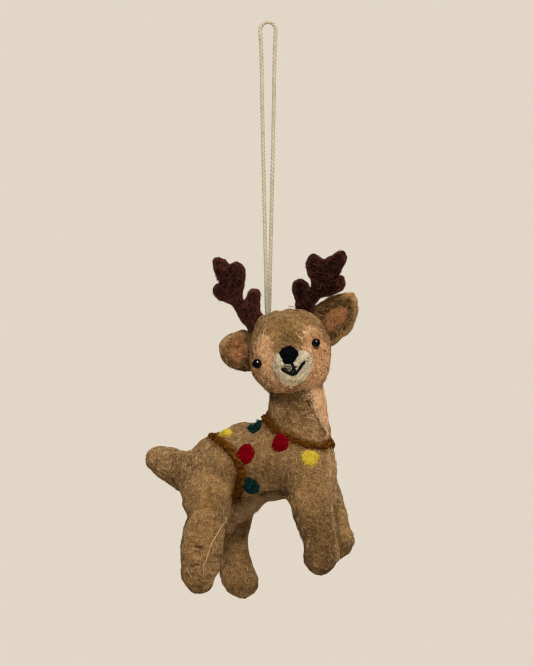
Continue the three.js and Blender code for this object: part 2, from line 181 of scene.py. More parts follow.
def stroke(nt, coord, turn, scale, long=0.14):
    """Noise drawn out along one direction, so that its levels run as fine fibres."""
    mp = nt.nodes.new("ShaderNodeMapping")
    mp.vector_type = "TEXTURE"
    mp.inputs["Rotation"].default_value = turn
    mp.inputs["Scale"].default_value = (1.0 / long, 1.0, 1.0)
    nt.links.new(coord, mp.inputs["Vector"])
    return noise(nt, mp.outputs["Vector"], scale, 3, 0.55, 0.9)


def felt(name, base, light, dark, fine=1.0, sheen=0.1, strands=0.75, blotch=None, relief=0.6, toned=False, rim=None):
    """Matted wool: mottled ground, curling pale and dark strands, a fibrous nap. A toned wool is darker or lighter
    where its piece's tone says so; on most pieces that tone is painted light and shade.
    """
    m, nt, bsdf = material(name)
    co = nt.nodes.new("ShaderNodeTexCoord").outputs["Object"]
    mott = noise(nt, co, 150 * fine, 5, 0.6, 1.2)
    big = noise(nt, co, 48 * fine, 3, 0.5, 0.6)
    s1 = stroke(nt, co, (0.3, 0.5, 0.9), 1050 * fine)
    s2 = stroke(nt, co, (1.1, -0.6, -0.7), 900 * fine)
    s4 = stroke(nt, co, (-0.5, 0.9, 2.2), 980 * fine)
    s5 = stroke(nt, co, (0.8, 1.3, -1.9), 860 * fine)
    s3 = noise(nt, co, 1700 * fine, 3, 0.6, 3.0)
    ground = mix(nt, ramp(nt, mott, [(0.34, 0.0), (0.64, 1.0)]), srgb(dark), srgb(base))
    ground = mix(nt, ramp(nt, big, [(0.35, 0.0), (0.7, 0.5)]), ground, srgb(base))
    if blotch:
        spots = noise(nt, co, 210 * fine, 4, 0.6, 2.5)
        ground = mix(nt, ramp(nt, spots, [(0.55, 0.0), (0.66, 0.8)]), ground, srgb(blotch))
    pale = calc(nt, "MAXIMUM", ramp(nt, s1, [(0.53, 0.0), (0.57, strands), (0.62, 0.0)]), ramp(nt, s4, [(0.53, 0.0), (0.57, strands), (0.62, 0.0)]))
    deep = calc(nt, "MAXIMUM", ramp(nt, s2, [(0.38, 0.0), (0.43, 0.7), (0.47, 0.0)]), ramp(nt, s5, [(0.38, 0.0), (0.43, 0.7), (0.47, 0.0)]))
    grain = ramp(nt, s3, [(0.3, 0.76), (0.7, 1.0)])
    col = mix(nt, deep, ground, srgb(dark))
    col = mix(nt, pale, col, srgb(light))
    col = mix(nt, 1.0, col, grain, "MULTIPLY")
    if toned:
        at_ = nt.nodes.new("ShaderNodeAttribute")
        at_.attribute_name = "tone"
        col = mix(nt, 1.0, col, at_.outputs["Color"], "MULTIPLY")
    if rim:
        bsdf.inputs["Sheen Tint"].default_value = srgb(rim)
    nt.links.new(col, bsdf.inputs["Base Color"])
    bsdf.inputs["Roughness"].default_value = 0.95
    bsdf.inputs["Specular IOR Level"].default_value = 0.02
    bsdf.inputs["Sheen Weight"].default_value = sheen
    bsdf.inputs["Sheen Roughness"].default_value = 0.5
    h = calc(nt, "ADD", calc(nt, "MULTIPLY", calc(nt, "ADD", s1, s4), 0.6), calc(nt, "ADD", calc(nt, "MULTIPLY", calc(nt, "ADD", s2, s5), 0.5), calc(nt, "MULTIPLY", s3, 0.45)))
    bump(nt, bsdf, h, relief, 0.0008 / fine)
    return m


def fibre(name, colour, rough=0.7):
    m, nt, bsdf = material(name)
    bsdf.inputs["Base Color"].default_value = srgb(colour)
    bsdf.inputs["Roughness"].default_value = rough
    bsdf.inputs["Specular IOR Level"].default_value = 0.03
    return m


def glass_bead(name):
    m, nt, bsdf = material(name)
    co = nt.nodes.new("ShaderNodeTexCoord").outputs["Object"]
    n = noise(nt, co, 420, 3, 0.5, 0.4)
    nt.links.new(ramp(nt, n, [(0.3, srgb("030304")), (0.7, srgb("08070A"))]), bsdf.inputs["Base Color"])
    nt.links.new(calc(nt, "ADD", calc(nt, "MULTIPLY", n, 0.05), 0.02), bsdf.inputs["Roughness"])
    bsdf.inputs["IOR"].default_value = 1.5
    bsdf.inputs["Specular IOR Level"].default_value = 0.6
    return m


# ------------------------------------------------------------------ implicit forms (mm)
def seg_field(P, a, b):
    pa, pb = np.array(a[:3], F), np.array(b[:3], F)
    ab = pb - pa
    q = P - pa
    t = np.clip((q @ ab) / F(ab @ ab), 0, 1)
    return np.linalg.norm(q - t[..., None] * ab, axis=-1) - (F(a[3]) + t * F(b[3] - a[3]))


def chain_field(P, ch):
    if len(ch) == 1:
        return np.linalg.norm(P - np.array(ch[0][:3], F), axis=-1) - F(ch[0][3])
    best = None
    for a, b in zip(ch[:-1], ch[1:]):
        d = seg_field(P, a, b)
        best = d if best is None else np.minimum(best, d)
    return best


def smin(a, b, k):
    h = np.clip(0.5 + 0.5 * (b - a) / k, 0, 1)
    return b * (1 - h) + a * h - k * h * (1 - h)


def smax(a, b, k):
    return -smin(-a, -b, k)


def waves(seed, wavelength, n=14):
    rng = np.random.default_rng(seed)
    d = rng.normal(size=(n, 3))
    d /= np.linalg.norm(d, axis=1, keepdims=True)
    k = d * (2 * np.pi / (wavelength * rng.uniform(0.7, 1.5, n)))[:, None]
    ph = rng.uniform(0, 2 * np.pi, n)
    amp = 1.0 / math.sqrt(n / 2.0)

    def f(P):
        out = np.zeros(P.shape[:-1], F)
        for i in range(n):
            out += np.sin(P @ k[i].astype(F) + F(ph[i]))
        return out * F(amp)
    return f


def smooth01(x, a, b):
    t = np.clip((x - a) / (b - a), 0, 1)
    return t * t * (3 - 2 * t)


def bell(x, w):
    return np.exp(-(x / w) ** 2)


def line_dist(x, y, pts):
    """Distance to an open 2-D polyline."""
    best = None
    for (ax, ay), (bx, by) in zip(pts[:-1], pts[1:]):
        ex, ey = bx - ax, by - ay
        t = np.clip(((x - ax) * ex + (y - ay) * ey) / (ex * ex + ey * ey), 0, 1)
        d = (x - ax - ex * t) ** 2 + (y - ay - ey * t) ** 2
        best = d if best is None else np.minimum(best, d)
    return np.sqrt(best)


def poly_sd(poly, x, y):
    """Signed distance to a closed 2-D outline, negative inside."""
    x, y = np.asarray(x, float), np.asarray(y, float)
    d = np.full(x.shape, 1e9)
    s = np.ones(x.shape)
    n = len(poly)
    for i in range(n):
        ax, ay = poly[i]
        bx, by = poly[(i - 1) % n]
        ex, ey = bx - ax, by - ay
        wx, wy = x - ax, y - ay
        t = np.clip((wx * ex + wy * ey) / (ex * ex + ey * ey), 0, 1)
        d = np.minimum(d, (wx - ex * t) ** 2 + (wy - ey * t) ** 2)
        c1, c2, c3 = y >= ay, y < by, ex * wy > ey * wx
        s = np.where((c1 & c2 & c3) | (~c1 & ~c2 & ~c3), -s, s)
    return s * np.sqrt(d)


def resample(path, step):
    path = np.asarray(path, float)
    L = np.r_[0, np.cumsum(np.linalg.norm(np.diff(path, axis=0), axis=1))]
    t = np.linspace(0, L[-1], max(3, int(round(L[-1] / step)) + 1))
    return np.stack([np.interp(t, L, path[:, i]) for i in range(path.shape[1])], 1)


def outline(pts, sigma=1.2, step=0.5, keep=4):
    """A closed outline with its corners rounded off."""
    P = np.asarray(pts, float)
    P = resample(np.vstack([P, P[:1]]), step)[:-1]
    n = int(4 * sigma / step)
    k = np.arange(-n, n + 1)
    w = np.exp(-0.5 * (k * step / sigma) ** 2)
    w /= w.sum()
    return sum(wi * np.roll(P, -ki, axis=0) for ki, wi in zip(k, w))[::keep]


def flat_map(poly, pad=14.0, step=0.5):
    """Signed distance to a closed outline, worked out once on a sheet and read by interpolation."""
    lo, hi = poly.min(0) - pad, poly.max(0) + pad
    nx, ny = np.ceil((hi - lo) / step).astype(int) + 1
    X, Y = np.meshgrid(lo[0] + step * np.arange(nx), lo[1] + step * np.arange(ny), indexing="ij")
    T = poly_sd(poly, X, Y).astype(F)

    def read(x, y):
        a = np.clip((x - lo[0]) / step, 0, nx - 1.001)
        b = np.clip((y - lo[1]) / step, 0, ny - 1.001)
        i, j = a.astype(int), b.astype(int)
        s, t = (a - i).astype(F), (b - j).astype(F)
        return (T[i, j] * (1 - s) + T[i + 1, j] * s) * (1 - t) + (T[i, j + 1] * (1 - s) + T[i + 1, j + 1] * s) * t
    return read


def chain_px(rows):
    return [(*on_mid(px, py, y), r * SCALE) for px, py, y, r in rows]


def chain_uv(rows):
    return [(*at(px, py, d), r * SCALE) for px, py, d, r in rows]


TORSO = chain_px([(209.5, 474, 0, 35.5), (243, 463.5, 0, 40), (277, 463, 0, 37), (299, 463, 0, 36)])
NECK = chain_px([(299, 458, 0, 33), (297.5, 425, 0, 31), (297.5, 400, 0, 27.5), (296, 380, 0, 27)])
TAIL = chain_px([(205, 475, 0, 26), (183, 470.5, 0, 19.5), (161, 460, 0, 17.5)])
GROIN = chain_px([(224, 517, 0, 12.5), (243, 505, 0, 14.5), (266, 493.5, 0, 13.6), (288, 489, 0, 13.4)])
LEGS = {
    "hind_right": chain_px([(209, 492, -11, 24), (203.3, 530, -13.5, 20.8), (200.2, 558, -13.5, 19.4), (199, 576, -13.5, 18.2)]),
    "hind_left": chain_px([(238.5, 492, 10, 24), (231.6, 530, 12.5, 17.4), (235.5, 556, 12.5, 16.5), (240.6, 580.4, 12.5, 20.6)]),
    "front_right": chain_px([(308, 478, -8, 26), (314, 515, -10.5, 20), (319, 545, -10.5, 17.5), (321, 556.5, -10.5, 17)]),
    "front_left": chain_px([(318, 478, 8, 22), (328, 512, 10.5, 18.5), (335, 540.5, 10.5, 21.4)]),
}
HD = 4.0
CRANIUM = chain_uv([(290, 347, HD, 37.5)])
CROWN = chain_uv([(279, 341.5, HD, 29), (297, 343, HD, 33)])
CHEEKS = chain_uv([(279.5, 363.5, HD + 2, 29.5), (301, 359, HD + 2, 29.5)])
CHIN = chain_uv([(283, 377.5, 10.5, 17.5), (306, 372.5, 9.5, 18)])
# side outline of the body and front outline of the head, in image units
BODY_OUT = flat_map(outline([
    (270, 395), (270, 404), (268.2, 411), (263, 416.8), (256.5, 421.8), (250.5, 424), (240.5, 424), (228.5, 428.5), (218.5, 432.8), (211.5, 434.6), (203, 439.4),
    (196, 447.5), (193.3, 451.8), (184, 453.6), (176.5, 450.7), (167.5, 447.3), (158.5, 445.1), (153.5, 447.3), (149, 451), (147, 455.5), (147, 463.5),
    (150, 468.5), (158.2, 476.5), (175, 484.6), (181.2, 492.2), (181.7, 497.5), (183.2, 504.5), (190.4, 513.8), (190.4, 519.2), (184.6, 530.5), (182.9, 538.5),
    (180.1, 545.5), (180, 552.5), (181.9, 566.5), (181.1, 570.5), (182.1, 577.5), (188.3, 590.5), (191.5, 593.7), (195.5, 594.9), (202.5, 594.4), (207.5, 592.7),
    (209.7, 590.5), (213.3, 580.5), (216.5, 575.2), (218.5, 574.2), (225.3, 588.5), (231, 594.5), (236.5, 597.7), (240.5, 598.9), (244.5, 599), (249.5, 596.7),
    (255.8, 591.5), (258.9, 586.5), (258.7, 577.5), (251.3, 562.5), (249.1, 555.5), (248.1, 548.5), (248, 537.5), (251.4, 518.5), (255, 511.4), (261.5, 504.2),
    (267.5, 500.6), (278, 499.5), (285.5, 500), (290, 502.6), (293, 507), (300, 537.5), (301.2, 542.5), (304.3, 563.5), (310.5, 571), (315.5, 573.7),
    (320.5, 574.9), (326.5, 573.7), (331.5, 571), (336.5, 565.8), (339, 560.5), (348.5, 552.8), (352.7, 546.5), (355.3, 541.5), (355.3, 535.5), (351, 526),
    (341.7, 499.5), (336, 484.5), (334.6, 477.5), (335, 461.5), (332.6, 449), (331.0, 441), (329.0, 434.8), (329.8, 426.5), (329.6, 420.3), (327.6, 410),
    (326, 401.6), (323.0, 392.5), (317, 360), (276, 360)]))
HEAD_OUT = flat_map(outline([
    (262, 315.9), (267, 313.8), (271.8, 312), (276.3, 311.2), (281, 312.4), (285.5, 310.2), (291.3, 309.2), (297, 309.2), (308.5, 310.8), (314.3, 313.7),
    (320, 319.4), (324.6, 326.3), (328, 335.5), (330.8, 344), (330.3, 355), (329.2, 366.5), (327.5, 376.8), (325, 386), (321, 390), (315, 392.2), (307, 394),
    (297, 395.4), (285.5, 396), (274, 395.2), (268.5, 392.8), (260.2, 384.8), (254.5, 376.8), (251, 370), (250.6, 362), (249, 349), (249, 338), (253.8, 327.6), (257.2, 321.6)]))

lump_a = waves(11, 17.0)
lump_b = waves(12, 6.5)
lump_c = waves(13, 2.6, 18)
LEG_K = {"hind_right": 2.2, "hind_left": 5.0, "front_right": 4.0, "front_left": 3.5}
SEAM_DIR = {   # where each leg's seam faces
    "hind_right": OUT,
    "front_right": math.cos(math.radians(66)) * OUT + math.sin(math.radians(66)) * RIGHT,
    "hind_left": RIGHT,
    "front_left": np.array([0.95, 0.3, 0.0]),
}
BIB_PY = [380, 393, 397, 403.7, 409, 416, 420.3, 426, 430, 433, 438.5, 446]
BIB_PX = [304.2, 306.8, 307.8, 310.2, 312.6, 315.6, 318, 320.6, 323.4, 325, 326.4, 334]
SEAM_PX = [222, 226, 231.8, 236.3, 243.4, 253, 260.4, 272, 282.7, 290]
SEAM_PY = [536, 526, 515.3, 506.6, 499.5, 495, 492.5, 491.7, 492.2, 493]


def bib_edge(P):
    """Distance to the bib's cut edge, the same on both sides of the chest, negative on the bib."""
    M = np.array(P, F)
    M[..., 1] = -np.abs(M[..., 1])
    px, py, _d = px_of(M)
    return np.where((M[..., 0] > 8) & (M[..., 2] > -182), (np.interp(py, BIB_PY, BIB_PX) - px) * (0.9 * SCALE), 50.0)


def belly_edge(P):
    """Height above the belly gusset's seam, the same on both flanks, and how much the seam is there."""
    M = np.array(P, F)
    M[..., 1] = -np.abs(M[..., 1])
    px, py, _d = px_of(M)
    there = smooth01(px, 224, 228) * (1 - smooth01(px, 285, 291)) * smooth01(-M[..., 2], 190, 194)
    return (np.interp(px, SEAM_PX, SEAM_PY) - py) * (0.75 * SCALE), there


CREASE = [(186.5, 517), (190.5, 512.5), (196, 510), (205, 508.4), (215, 508.8), (222, 511.5), (227, 516)]
PITS = [(198, 547.5, 1.25, 1.6, 0.65), (206, 549.5, 0.6, 3.0, 0.6), (190, 549, 0.45, 2.6, 0.6), (198, 565, 1.2, 1.6, 0.7), (206, 563, 0.6, 3.0, 0.6), (189, 567, 0.5, 2.6, 0.7),
        (197.5, 586.5, 1.2, 2.2, 0.9), (207, 580, 0.6, 2.4, 0.7), (216, 557, 0.7, 2.2, 0.8), (214.5, 541, 0.5, 2.4, 0.7), (213, 571, 0.5, 2.2, 0.7), (201, 556.5, 0.5, 1.6, 0.7), (195, 576, 0.6, 2.0, 0.6)]


NECK_NEAR = [(325.6, 446), (319.5, 446.8), (312.2, 446.2), (305, 444.4), (297.8, 441.8), (290.5, 438.3), (283.5, 434.4), (276, 429.5), (270, 423.8), (266.6, 418.8)]
WAIST_NEAR = [(214.5, 437.8), (220.5, 441.8), (226, 446.3), (231.8, 451.9), (236, 458), (239.2, 464.8), (241, 470), (241.4, 475), (240.6, 480.5), (239.2, 486.3), (237.4, 494), (235.6, 501.5)]
RIDGE_PY = [440, 455, 475, 495, 512, 533, 552, 560]
RIDGE_PX = [328, 329.7, 330.2, 330.6, 332, 334.3, 337.4, 338.6]
FRONT_PY, FRONT_PX = [478, 500, 515, 545, 560], [333.5, 333.5, 334.5, 337.4, 339]


def trunk_raw(P):
    """Barrel with a tucked belly, a neck flatter than it is wide, and the tail."""
    x, z = P[..., 0], P[..., 2]
    f = chain_field(P, TORSO)
    f = f + 0.15 * np.abs(P[..., 1]) * smooth01(-z, 187, 204) * smooth01(x, -20, -8) * (1 - smooth01(x, 8, 18))
    f = smin(f, chain_field(P, GROIN), 4.0)
    d = P @ OUT.astype(F)
    flat = P + (0.3 * (d - 6.8))[..., None] * OUT.astype(F)
    f = smin(f, 0.85 * chain_field(flat, NECK), 8.0)
    return smin(f, chain_field(P, TAIL), 4.0)


def trunk_cut(P):
    """The trunk within the body's side outline."""
    px, py, _d = px_of(P)
    return np.maximum(trunk_raw(P), BODY_OUT(px, py) * SCALE)


def leg_axis(name, z):
    ch = LEGS[name]
    zs = np.array([c[2] for c in ch])[::-1]
    return (np.interp(z, zs, np.array([c[0] for c in ch])[::-1]), np.interp(z, zs, np.array([c[1] for c in ch])[::-1]))


def leg_seam(P, name):
    """Signed sideways distance to the leg's seam line, large behind the leg."""
    n = SEAM_DIR[name]
    t = np.array([-n[1], n[0], 0.0])
    ax, ay = leg_axis(name, P[..., 2])
    qx, qy = P[..., 0] - ax, P[..., 1] - ay
    return np.where(qx * n[0] + qy * n[1] > 0, qx * t[0] + qy * t[1], 50.0)


def body_detail(P, f, trunk):
    """Stuffing lumps, sewn seams, creases and stitch pits of the body."""
    f = f - 0.34 * lump_a(P) - 0.17 * lump_b(P) - 0.07 * lump_c(P)
    z = P[..., 2]
    px, py, d = px_of(P)
    for name, ch in LEGS.items():
        lf = chain_field(P, ch)
        near = smooth01(trunk - lf, 0.5, 5.0)
        g = leg_seam(P, name)
        pucker = 0.35 + 0.65 * (0.5 + 0.5 * np.cos(z * (2 * np.pi / 3.4) + 1.3 * np.sin(z * 0.7)))
        if name == "hind_right":
            f = f + near * 0.45 * pucker * bell(g, 1.2)
        elif name == "front_right":
            side_ = (px - np.interp(py, RIDGE_PY, RIDGE_PX)) * SCALE
            on = smooth01(-P[..., 1], -1.5, 2.5) * smooth01(py, 440, 455) * smooth01(d, 2, 6)
            f = f - on * 0.38 * bell(side_, 0.4) + on * 0.3 * bell(side_ + 1.1, 0.6) + on * 0.3 * bell(side_ - 1.0, 0.5)
        else:
            f = f + near * 0.45 * pucker * bell(g, 0.8)
    lf = chain_field(P, LEGS["hind_right"])
    front = smooth01(d, -1.0, 3.0) * (1 - smooth01(lf, 2.5, 5.0))
    for x, y, depth, wx, wy in PITS:
        f = f + front * depth * bell((px - x) * SCALE, wx) * bell((py - y) * SCALE, wy)
    f = f + smooth01(d, -2.0, 1.5) * 0.7 * bell(line_dist(px, py, CREASE) * SCALE, 0.65) * smooth01(px, 185, 190) * (1 - 0.8 * smooth01(px, 198, 208)) * (1 - smooth01(px, 222, 229))
    # back seam
    top = smooth01(z - np.interp(P[..., 0], [-60, -30, 0, 10], [-190, -186, -181, -176]), 0, 4)
    f = f + 0.25 * top * bell(P[..., 1], 0.7)
    # belly seams on both flanks, with the gusset lying deeper
    g, belly = belly_edge(P)
    f = f + belly * (1.1 * bell(g + 0.2, 0.6) - 0.4 * bell(g - 1.6, 1.0) + 0.5 * smooth01(-g, 0.2, 1.6))
    # bib seams
    e = bib_edge(P)
    f = f + 0.5 * bell(e, 0.42) - 0.2 * smooth01(-e, 0.5, 3.0)
    return f


def banded(P, f, width, fn, *more):
    """f with fn's fine detail where it is within width of zero."""
    out = np.array(f, F).reshape(-1)
    near = np.abs(out) < width
    out[near] = fn(P.reshape(-1, 3)[near], out[near], *[m.reshape(-1)[near] for m in more])
    return out.reshape(f.shape)


def body_field(P, detail=True):
    trunk = trunk_raw(P)
    f = np.minimum.reduce([smin(trunk, chain_field(P, ch), LEG_K[name]) for name, ch in LEGS.items()])
    px, py, _d = px_of(P)
    f = smax(f - 0.45, BODY_OUT(px, py) * SCALE - 0.2, 2.0)
    return banded(P, f, 3.0, body_detail, trunk) if detail else f


def body_plain(P):
    return body_field(P, False)


def head_raw(P):
    f = smin(chain_field(P, CRANIUM), chain_field(P, CROWN), 3.0)
    f = smin(f, chain_field(P, CHEEKS), 5.0)
    f = smin(f, chain_field(P, CHIN), 4.0)
    px, py, _d = px_of(P)
    return smax(f - 0.35, HEAD_OUT(px, py) * SCALE - 0.2, 2.2)


def front_px(fld, px, py, start=34.0):
    """First surface point met looking along the view at an image place."""
    d = start
    for _ in range(90):
        s = float(fld(at(px, py, d).astype(F)[None])[0])
        d -= min(max(s, -0.5), 6.0) * 0.8
        if abs(s) < 0.004:
            break
    return at(px, py, d), d


EYE_R, _d = front_px(head_raw, 258.0, 363.5)
EYE_L, _d = front_px(head_raw, 315.9, 342.8)


def head_detail(P, f):
    f = f - 0.3 * lump_a(P + 40) - 0.16 * lump_b(P + 40) - 0.07 * lump_c(P + 9)
    for c in (EYE_R, EYE_L):
        f = f + 0.7 * np.exp(-((P - c.astype(F)) ** 2).sum(-1) / 7.5)
    # gathered lumps at the crown, and the dimple that the cord goes into
    for px, py, d, r, k in ((275.6, 315.6, 3.5, 4.5, 0.8), (289.2, 314.4, 3.0, 5.4, 0.8), (262.3, 317.0, 3.5, 3.0, 0.9)):
        f = smin(f, np.linalg.norm(P - at(px, py, d).astype(F), axis=-1) - r * SCALE, k)
    rr = np.hypot(P[..., 0] - F(0.7 * OUT[0]), P[..., 1] - F(0.7 * OUT[1]))
    u, v = P @ RIGHT.astype(F), P @ OUT.astype(F)
    slit = bell(u + 0.3, 1.5) * smooth01(v, -2.0, 0.3) * (1 - smooth01(v, 3.0, 6.5))
    return f + (1.4 * bell(rr, 1.6) + 1.0 * slit) * smooth01(P[..., 2], -132, -128)


def head_field(P, detail=True):
    f = head_raw(P)
    return banded(P, f, 4.0, head_detail) if detail else f


# ------------------------------------------------------------------ surface extraction
def grid(lo, hi, h):
    ax = [np.arange(a, b + h, h, dtype=F) for a, b in zip(lo, hi)]
    return np.stack(np.meshgrid(*ax, indexing="ij"), -1)


def surface(Fv, P0, h):
    """Surface-net quads of the zero level of a sampled field."""
    nx, ny, nz = Fv.shape
    ins = Fv < 0
    cnt = np.zeros((nx - 1, ny - 1, nz - 1), np.int8)
    for i in (0, 1):
        for j in (0, 1):
            for k in (0, 1):
                cnt += ins[i:nx - 1 + i, j:ny - 1 + j, k:nz - 1 + k]
    act = (cnt > 0) & (cnt < 8)
    cells = np.argwhere(act)
    idx = np.full(act.shape, -1, np.int64)
    idx[act] = np.arange(len(cells))
    acc = np.zeros((len(cells), 3))
    num = np.zeros(len(cells))
    for axis in range(3):
        o = [0, 0, 0]
        o[axis] = 1
        others = [a for a in range(3) if a != axis]
        for p in (0, 1):
            for q in (0, 1):
                s = [0, 0, 0]
                s[others[0]], s[others[1]] = p, q
                a = cells + s
                b = a + o
                fa = Fv[a[:, 0], a[:, 1], a[:, 2]].astype(float)
                fb = Fv[b[:, 0], b[:, 1], b[:, 2]].astype(float)
                cr = (fa < 0) != (fb < 0)
                t = np.where(cr, fa / np.where(cr, fa - fb, 1.0), 0.0)
                acc += (np.array(s) + t[:, None] * np.array(o)) * cr[:, None]
                num += cr
    V = np.asarray(P0, float) + h * (cells + acc / num[:, None])
    quads = []
    for axis in range(3):
        a1, a2 = [(1, 2), (2, 0), (0, 1)][axis]
        sl0 = [slice(1, -1)] * 3
        sl1 = [slice(1, -1)] * 3
        sl0[axis] = slice(0, -1)
        sl1[axis] = slice(1, None)
        i0, i1 = ins[tuple(sl0)], ins[tuple(sl1)]
        e = np.argwhere(i0 != i1)
        flip = i0[e[:, 0], e[:, 1], e[:, 2]]
        base = e.copy()
        base[:, a1] += 1
        base[:, a2] += 1
        c = []
        for da, db in ((-1, -1), (0, -1), (0, 0), (-1, 0)):
            t = base.copy()
            t[:, a1] += da
            t[:, a2] += db
            c.append(idx[t[:, 0], t[:, 1], t[:, 2]])
        q = np.stack(c, 1)
        q[~flip] = q[~flip][:, ::-1]
        quads.append(q)
    return V, np.concatenate(quads)


def biggest(V, Q):
    """Only the largest connected shell."""
    lab = np.arange(len(V))
    while True:
        m = lab[Q].min(1)
        new = lab.copy()
        for i in range(Q.shape[1]):
            np.minimum.at(new, Q[:, i], m)
        new = new[new]
        if (new == lab).all():
            break
        lab = new
    u, c = np.unique(lab, return_counts=True)
    keep = lab == u[np.argmax(c)]
    remap = np.cumsum(keep) - 1
    return V[keep], remap[Q[keep[Q].all(1)]]


def relax(V, Q, n=2, w=0.5):
    for _ in range(n):
        acc = np.zeros_like(V)
        num = np.zeros(len(V))
        for i in range(4):
            a, b = Q[:, i], Q[:, (i + 1) % 4]
            np.add.at(acc, a, V[b])
            np.add.at(acc, b, V[a])
            np.add.at(num, a, 1)
            np.add.at(num, b, 1)
        V = V * (1 - w) + w * acc / np.maximum(num, 1)[:, None]
    return V


def sampled(Fv, P0, h):
    """A field read back from its samples by interpolation."""
    Fv = np.ascontiguousarray(Fv, F)
    nx, ny, nz = Fv.shape
    flat, o = Fv.ravel(), np.asarray(P0, F)

    def read(P):
        q = np.clip((P - o) / F(h), 0, np.array([nx, ny, nz], F) - F(1.01))
        i = q.astype(np.int32)
        t = q - i
        base = (i[..., 0] * ny + i[..., 1]) * nz + i[..., 2]
        x, y, z = t[..., 0], t[..., 1], t[..., 2]
        out = 0
        for a in (0, 1):
            for b in (0, 1):
                for c in (0, 1):
                    out = out + flat[base + (a * ny + b) * nz + c] * ((x if a else 1 - x) * (y if b else 1 - y) * (z if c else 1 - z))
        return out
    return read


def solid_of(fld, lo, hi, h, smooth=1, to_world=None):
    P = grid(lo, hi, h)
    V, Q = surface(fld(P), P[0, 0, 0], h)
    V, Q = biggest(V, Q)
    V = relax(V, Q, smooth, 0.4)
    return (V if to_world is None else to_world(V)), Q


def piece(name, V, faces, mats, face_mat=None, smooth=True, tone=None):
    me = bpy.data.meshes.new(name)
    V = np.asarray(V, float) * MM
    faces = [np.asarray(f) for f in (faces if isinstance(faces, list) else [faces])]
    npoly = sum(len(f) for f in faces)
    me.vertices.add(len(V))
    me.vertices.foreach_set("co", V.astype(F).ravel())
    me.loops.add(sum(f.size for f in faces))
    me.loops.foreach_set("vertex_index", np.concatenate([f.ravel() for f in faces]).astype(np.int32))
    me.polygons.add(npoly)
    tot = np.concatenate([np.full(len(f), f.shape[1]) for f in faces]).astype(np.int32)
    me.polygons.foreach_set("loop_start", (np.cumsum(tot) - tot).astype(np.int32))
    me.polygons.foreach_set("loop_total", tot)
    for m in (mats if isinstance(mats, (list, tuple)) else [mats]):
        me.materials.append(m)
    if face_mat is not None:
        me.polygons.foreach_set("material_index", np.asarray(face_mat, np.int32))
    me.polygons.foreach_set("use_smooth", np.full(npoly, smooth))
    me.update(calc_edges=True)
    me.validate()
    if tone is not None:
        t = np.clip(tone, 0.1, 4.0)
        a = me.color_attributes.new("tone", "FLOAT_COLOR", "POINT")
        a.data.foreach_set("color", np.stack([t, t, t, np.ones_like(t)], 1).astype(F).ravel())
    ob = bpy.data.objects.new(name, me)
    bpy.context.scene.collection.objects.link(ob)
    return ob


def normals(fld, P, e=0.1):
    g = []
    for i in range(3):
        o = np.zeros(3, F)
        o[i] = e
        g.append(fld(P + o) - fld(P - o))
    g = np.stack(g, -1)
    return g / np.maximum(np.linalg.norm(g, axis=-1, keepdims=True), 1e-9)


def onto(fld, P, off=0.0, n=6):
    P = np.array(P, F)
    for _ in range(n):
        P = P - ((fld(P) - F(off))[..., None] * normals(fld, P)) * F(0.85)
    return P


def shell(V, Q, N, t):
    """Closes an open sheet of quads into a wall of thickness t, inward of the normals N."""
    n = len(V)
    inner = V - N * t
    e = np.concatenate([np.stack([Q[:, i], Q[:, (i + 1) % 4]], 1) for i in range(4)])
    key = np.sort(e, 1)
    code = key[:, 0].astype(np.int64) * n + key[:, 1]
    _u, inv, cnt = np.unique(code, return_inverse=True, return_counts=True)
    rim = e[cnt[inv] == 1]
    side = np.stack([rim[:, 1], rim[:, 0], rim[:, 0] + n, rim[:, 1] + n], 1)
    return np.concatenate([V, inner]), np.concatenate([Q, Q[:, ::-1] + n, side])


def sub(V, N, Q, sel):
    q = Q[sel]
    u, inv = np.unique(q, return_inverse=True)
    return V[u], N[u], inv.reshape(q.shape)


def centres(V, Q):
    return V[Q].mean(1).astype(F)


# ------------------------------------------------------------------ swept pieces
def frames(path):
    T = np.gradient(path, axis=0)
    T /= np.linalg.norm(T, axis=1, keepdims=True)
    n = np.cross(T[0], [0.3, 0.9, 0.2])
    n /= np.linalg.norm(n)
    Ns = [n]
    for i in range(1, len(path)):
        n = Ns[-1] - T[i] * (Ns[-1] @ T[i])
        Ns.append(n / np.linalg.norm(n))
    Ns = np.array(Ns)
    return T, Ns, np.cross(T, Ns)


def spline(points, per=12, closed=False):
    """Smooth curve through points."""
    P = np.asarray(points, float)
    n = len(P)
    out = []
    for i in range(n if closed else n - 1):
        if closed:
            p0, p1, p2, p3 = P[(i - 1) % n], P[i], P[(i + 1) % n], P[(i + 2) % n]
        else:
            p1, p2 = P[i], P[i + 1]
            p0 = P[i - 1] if i > 0 else 2 * p1 - p2
            p3 = P[i + 2] if i + 2 < n else 2 * p2 - p1
        for k in range(per):
            t = k / per
            out.append(0.5 * ((2 * p1) + (-p0 + p2) * t + (2 * p0 - 5 * p1 + 4 * p2 - p3) * t ** 2 + (-p0 + 3 * p1 - 3 * p2 + p3) * t ** 3))
    if not closed:
        out.append(P[-1])
    return np.array(out)


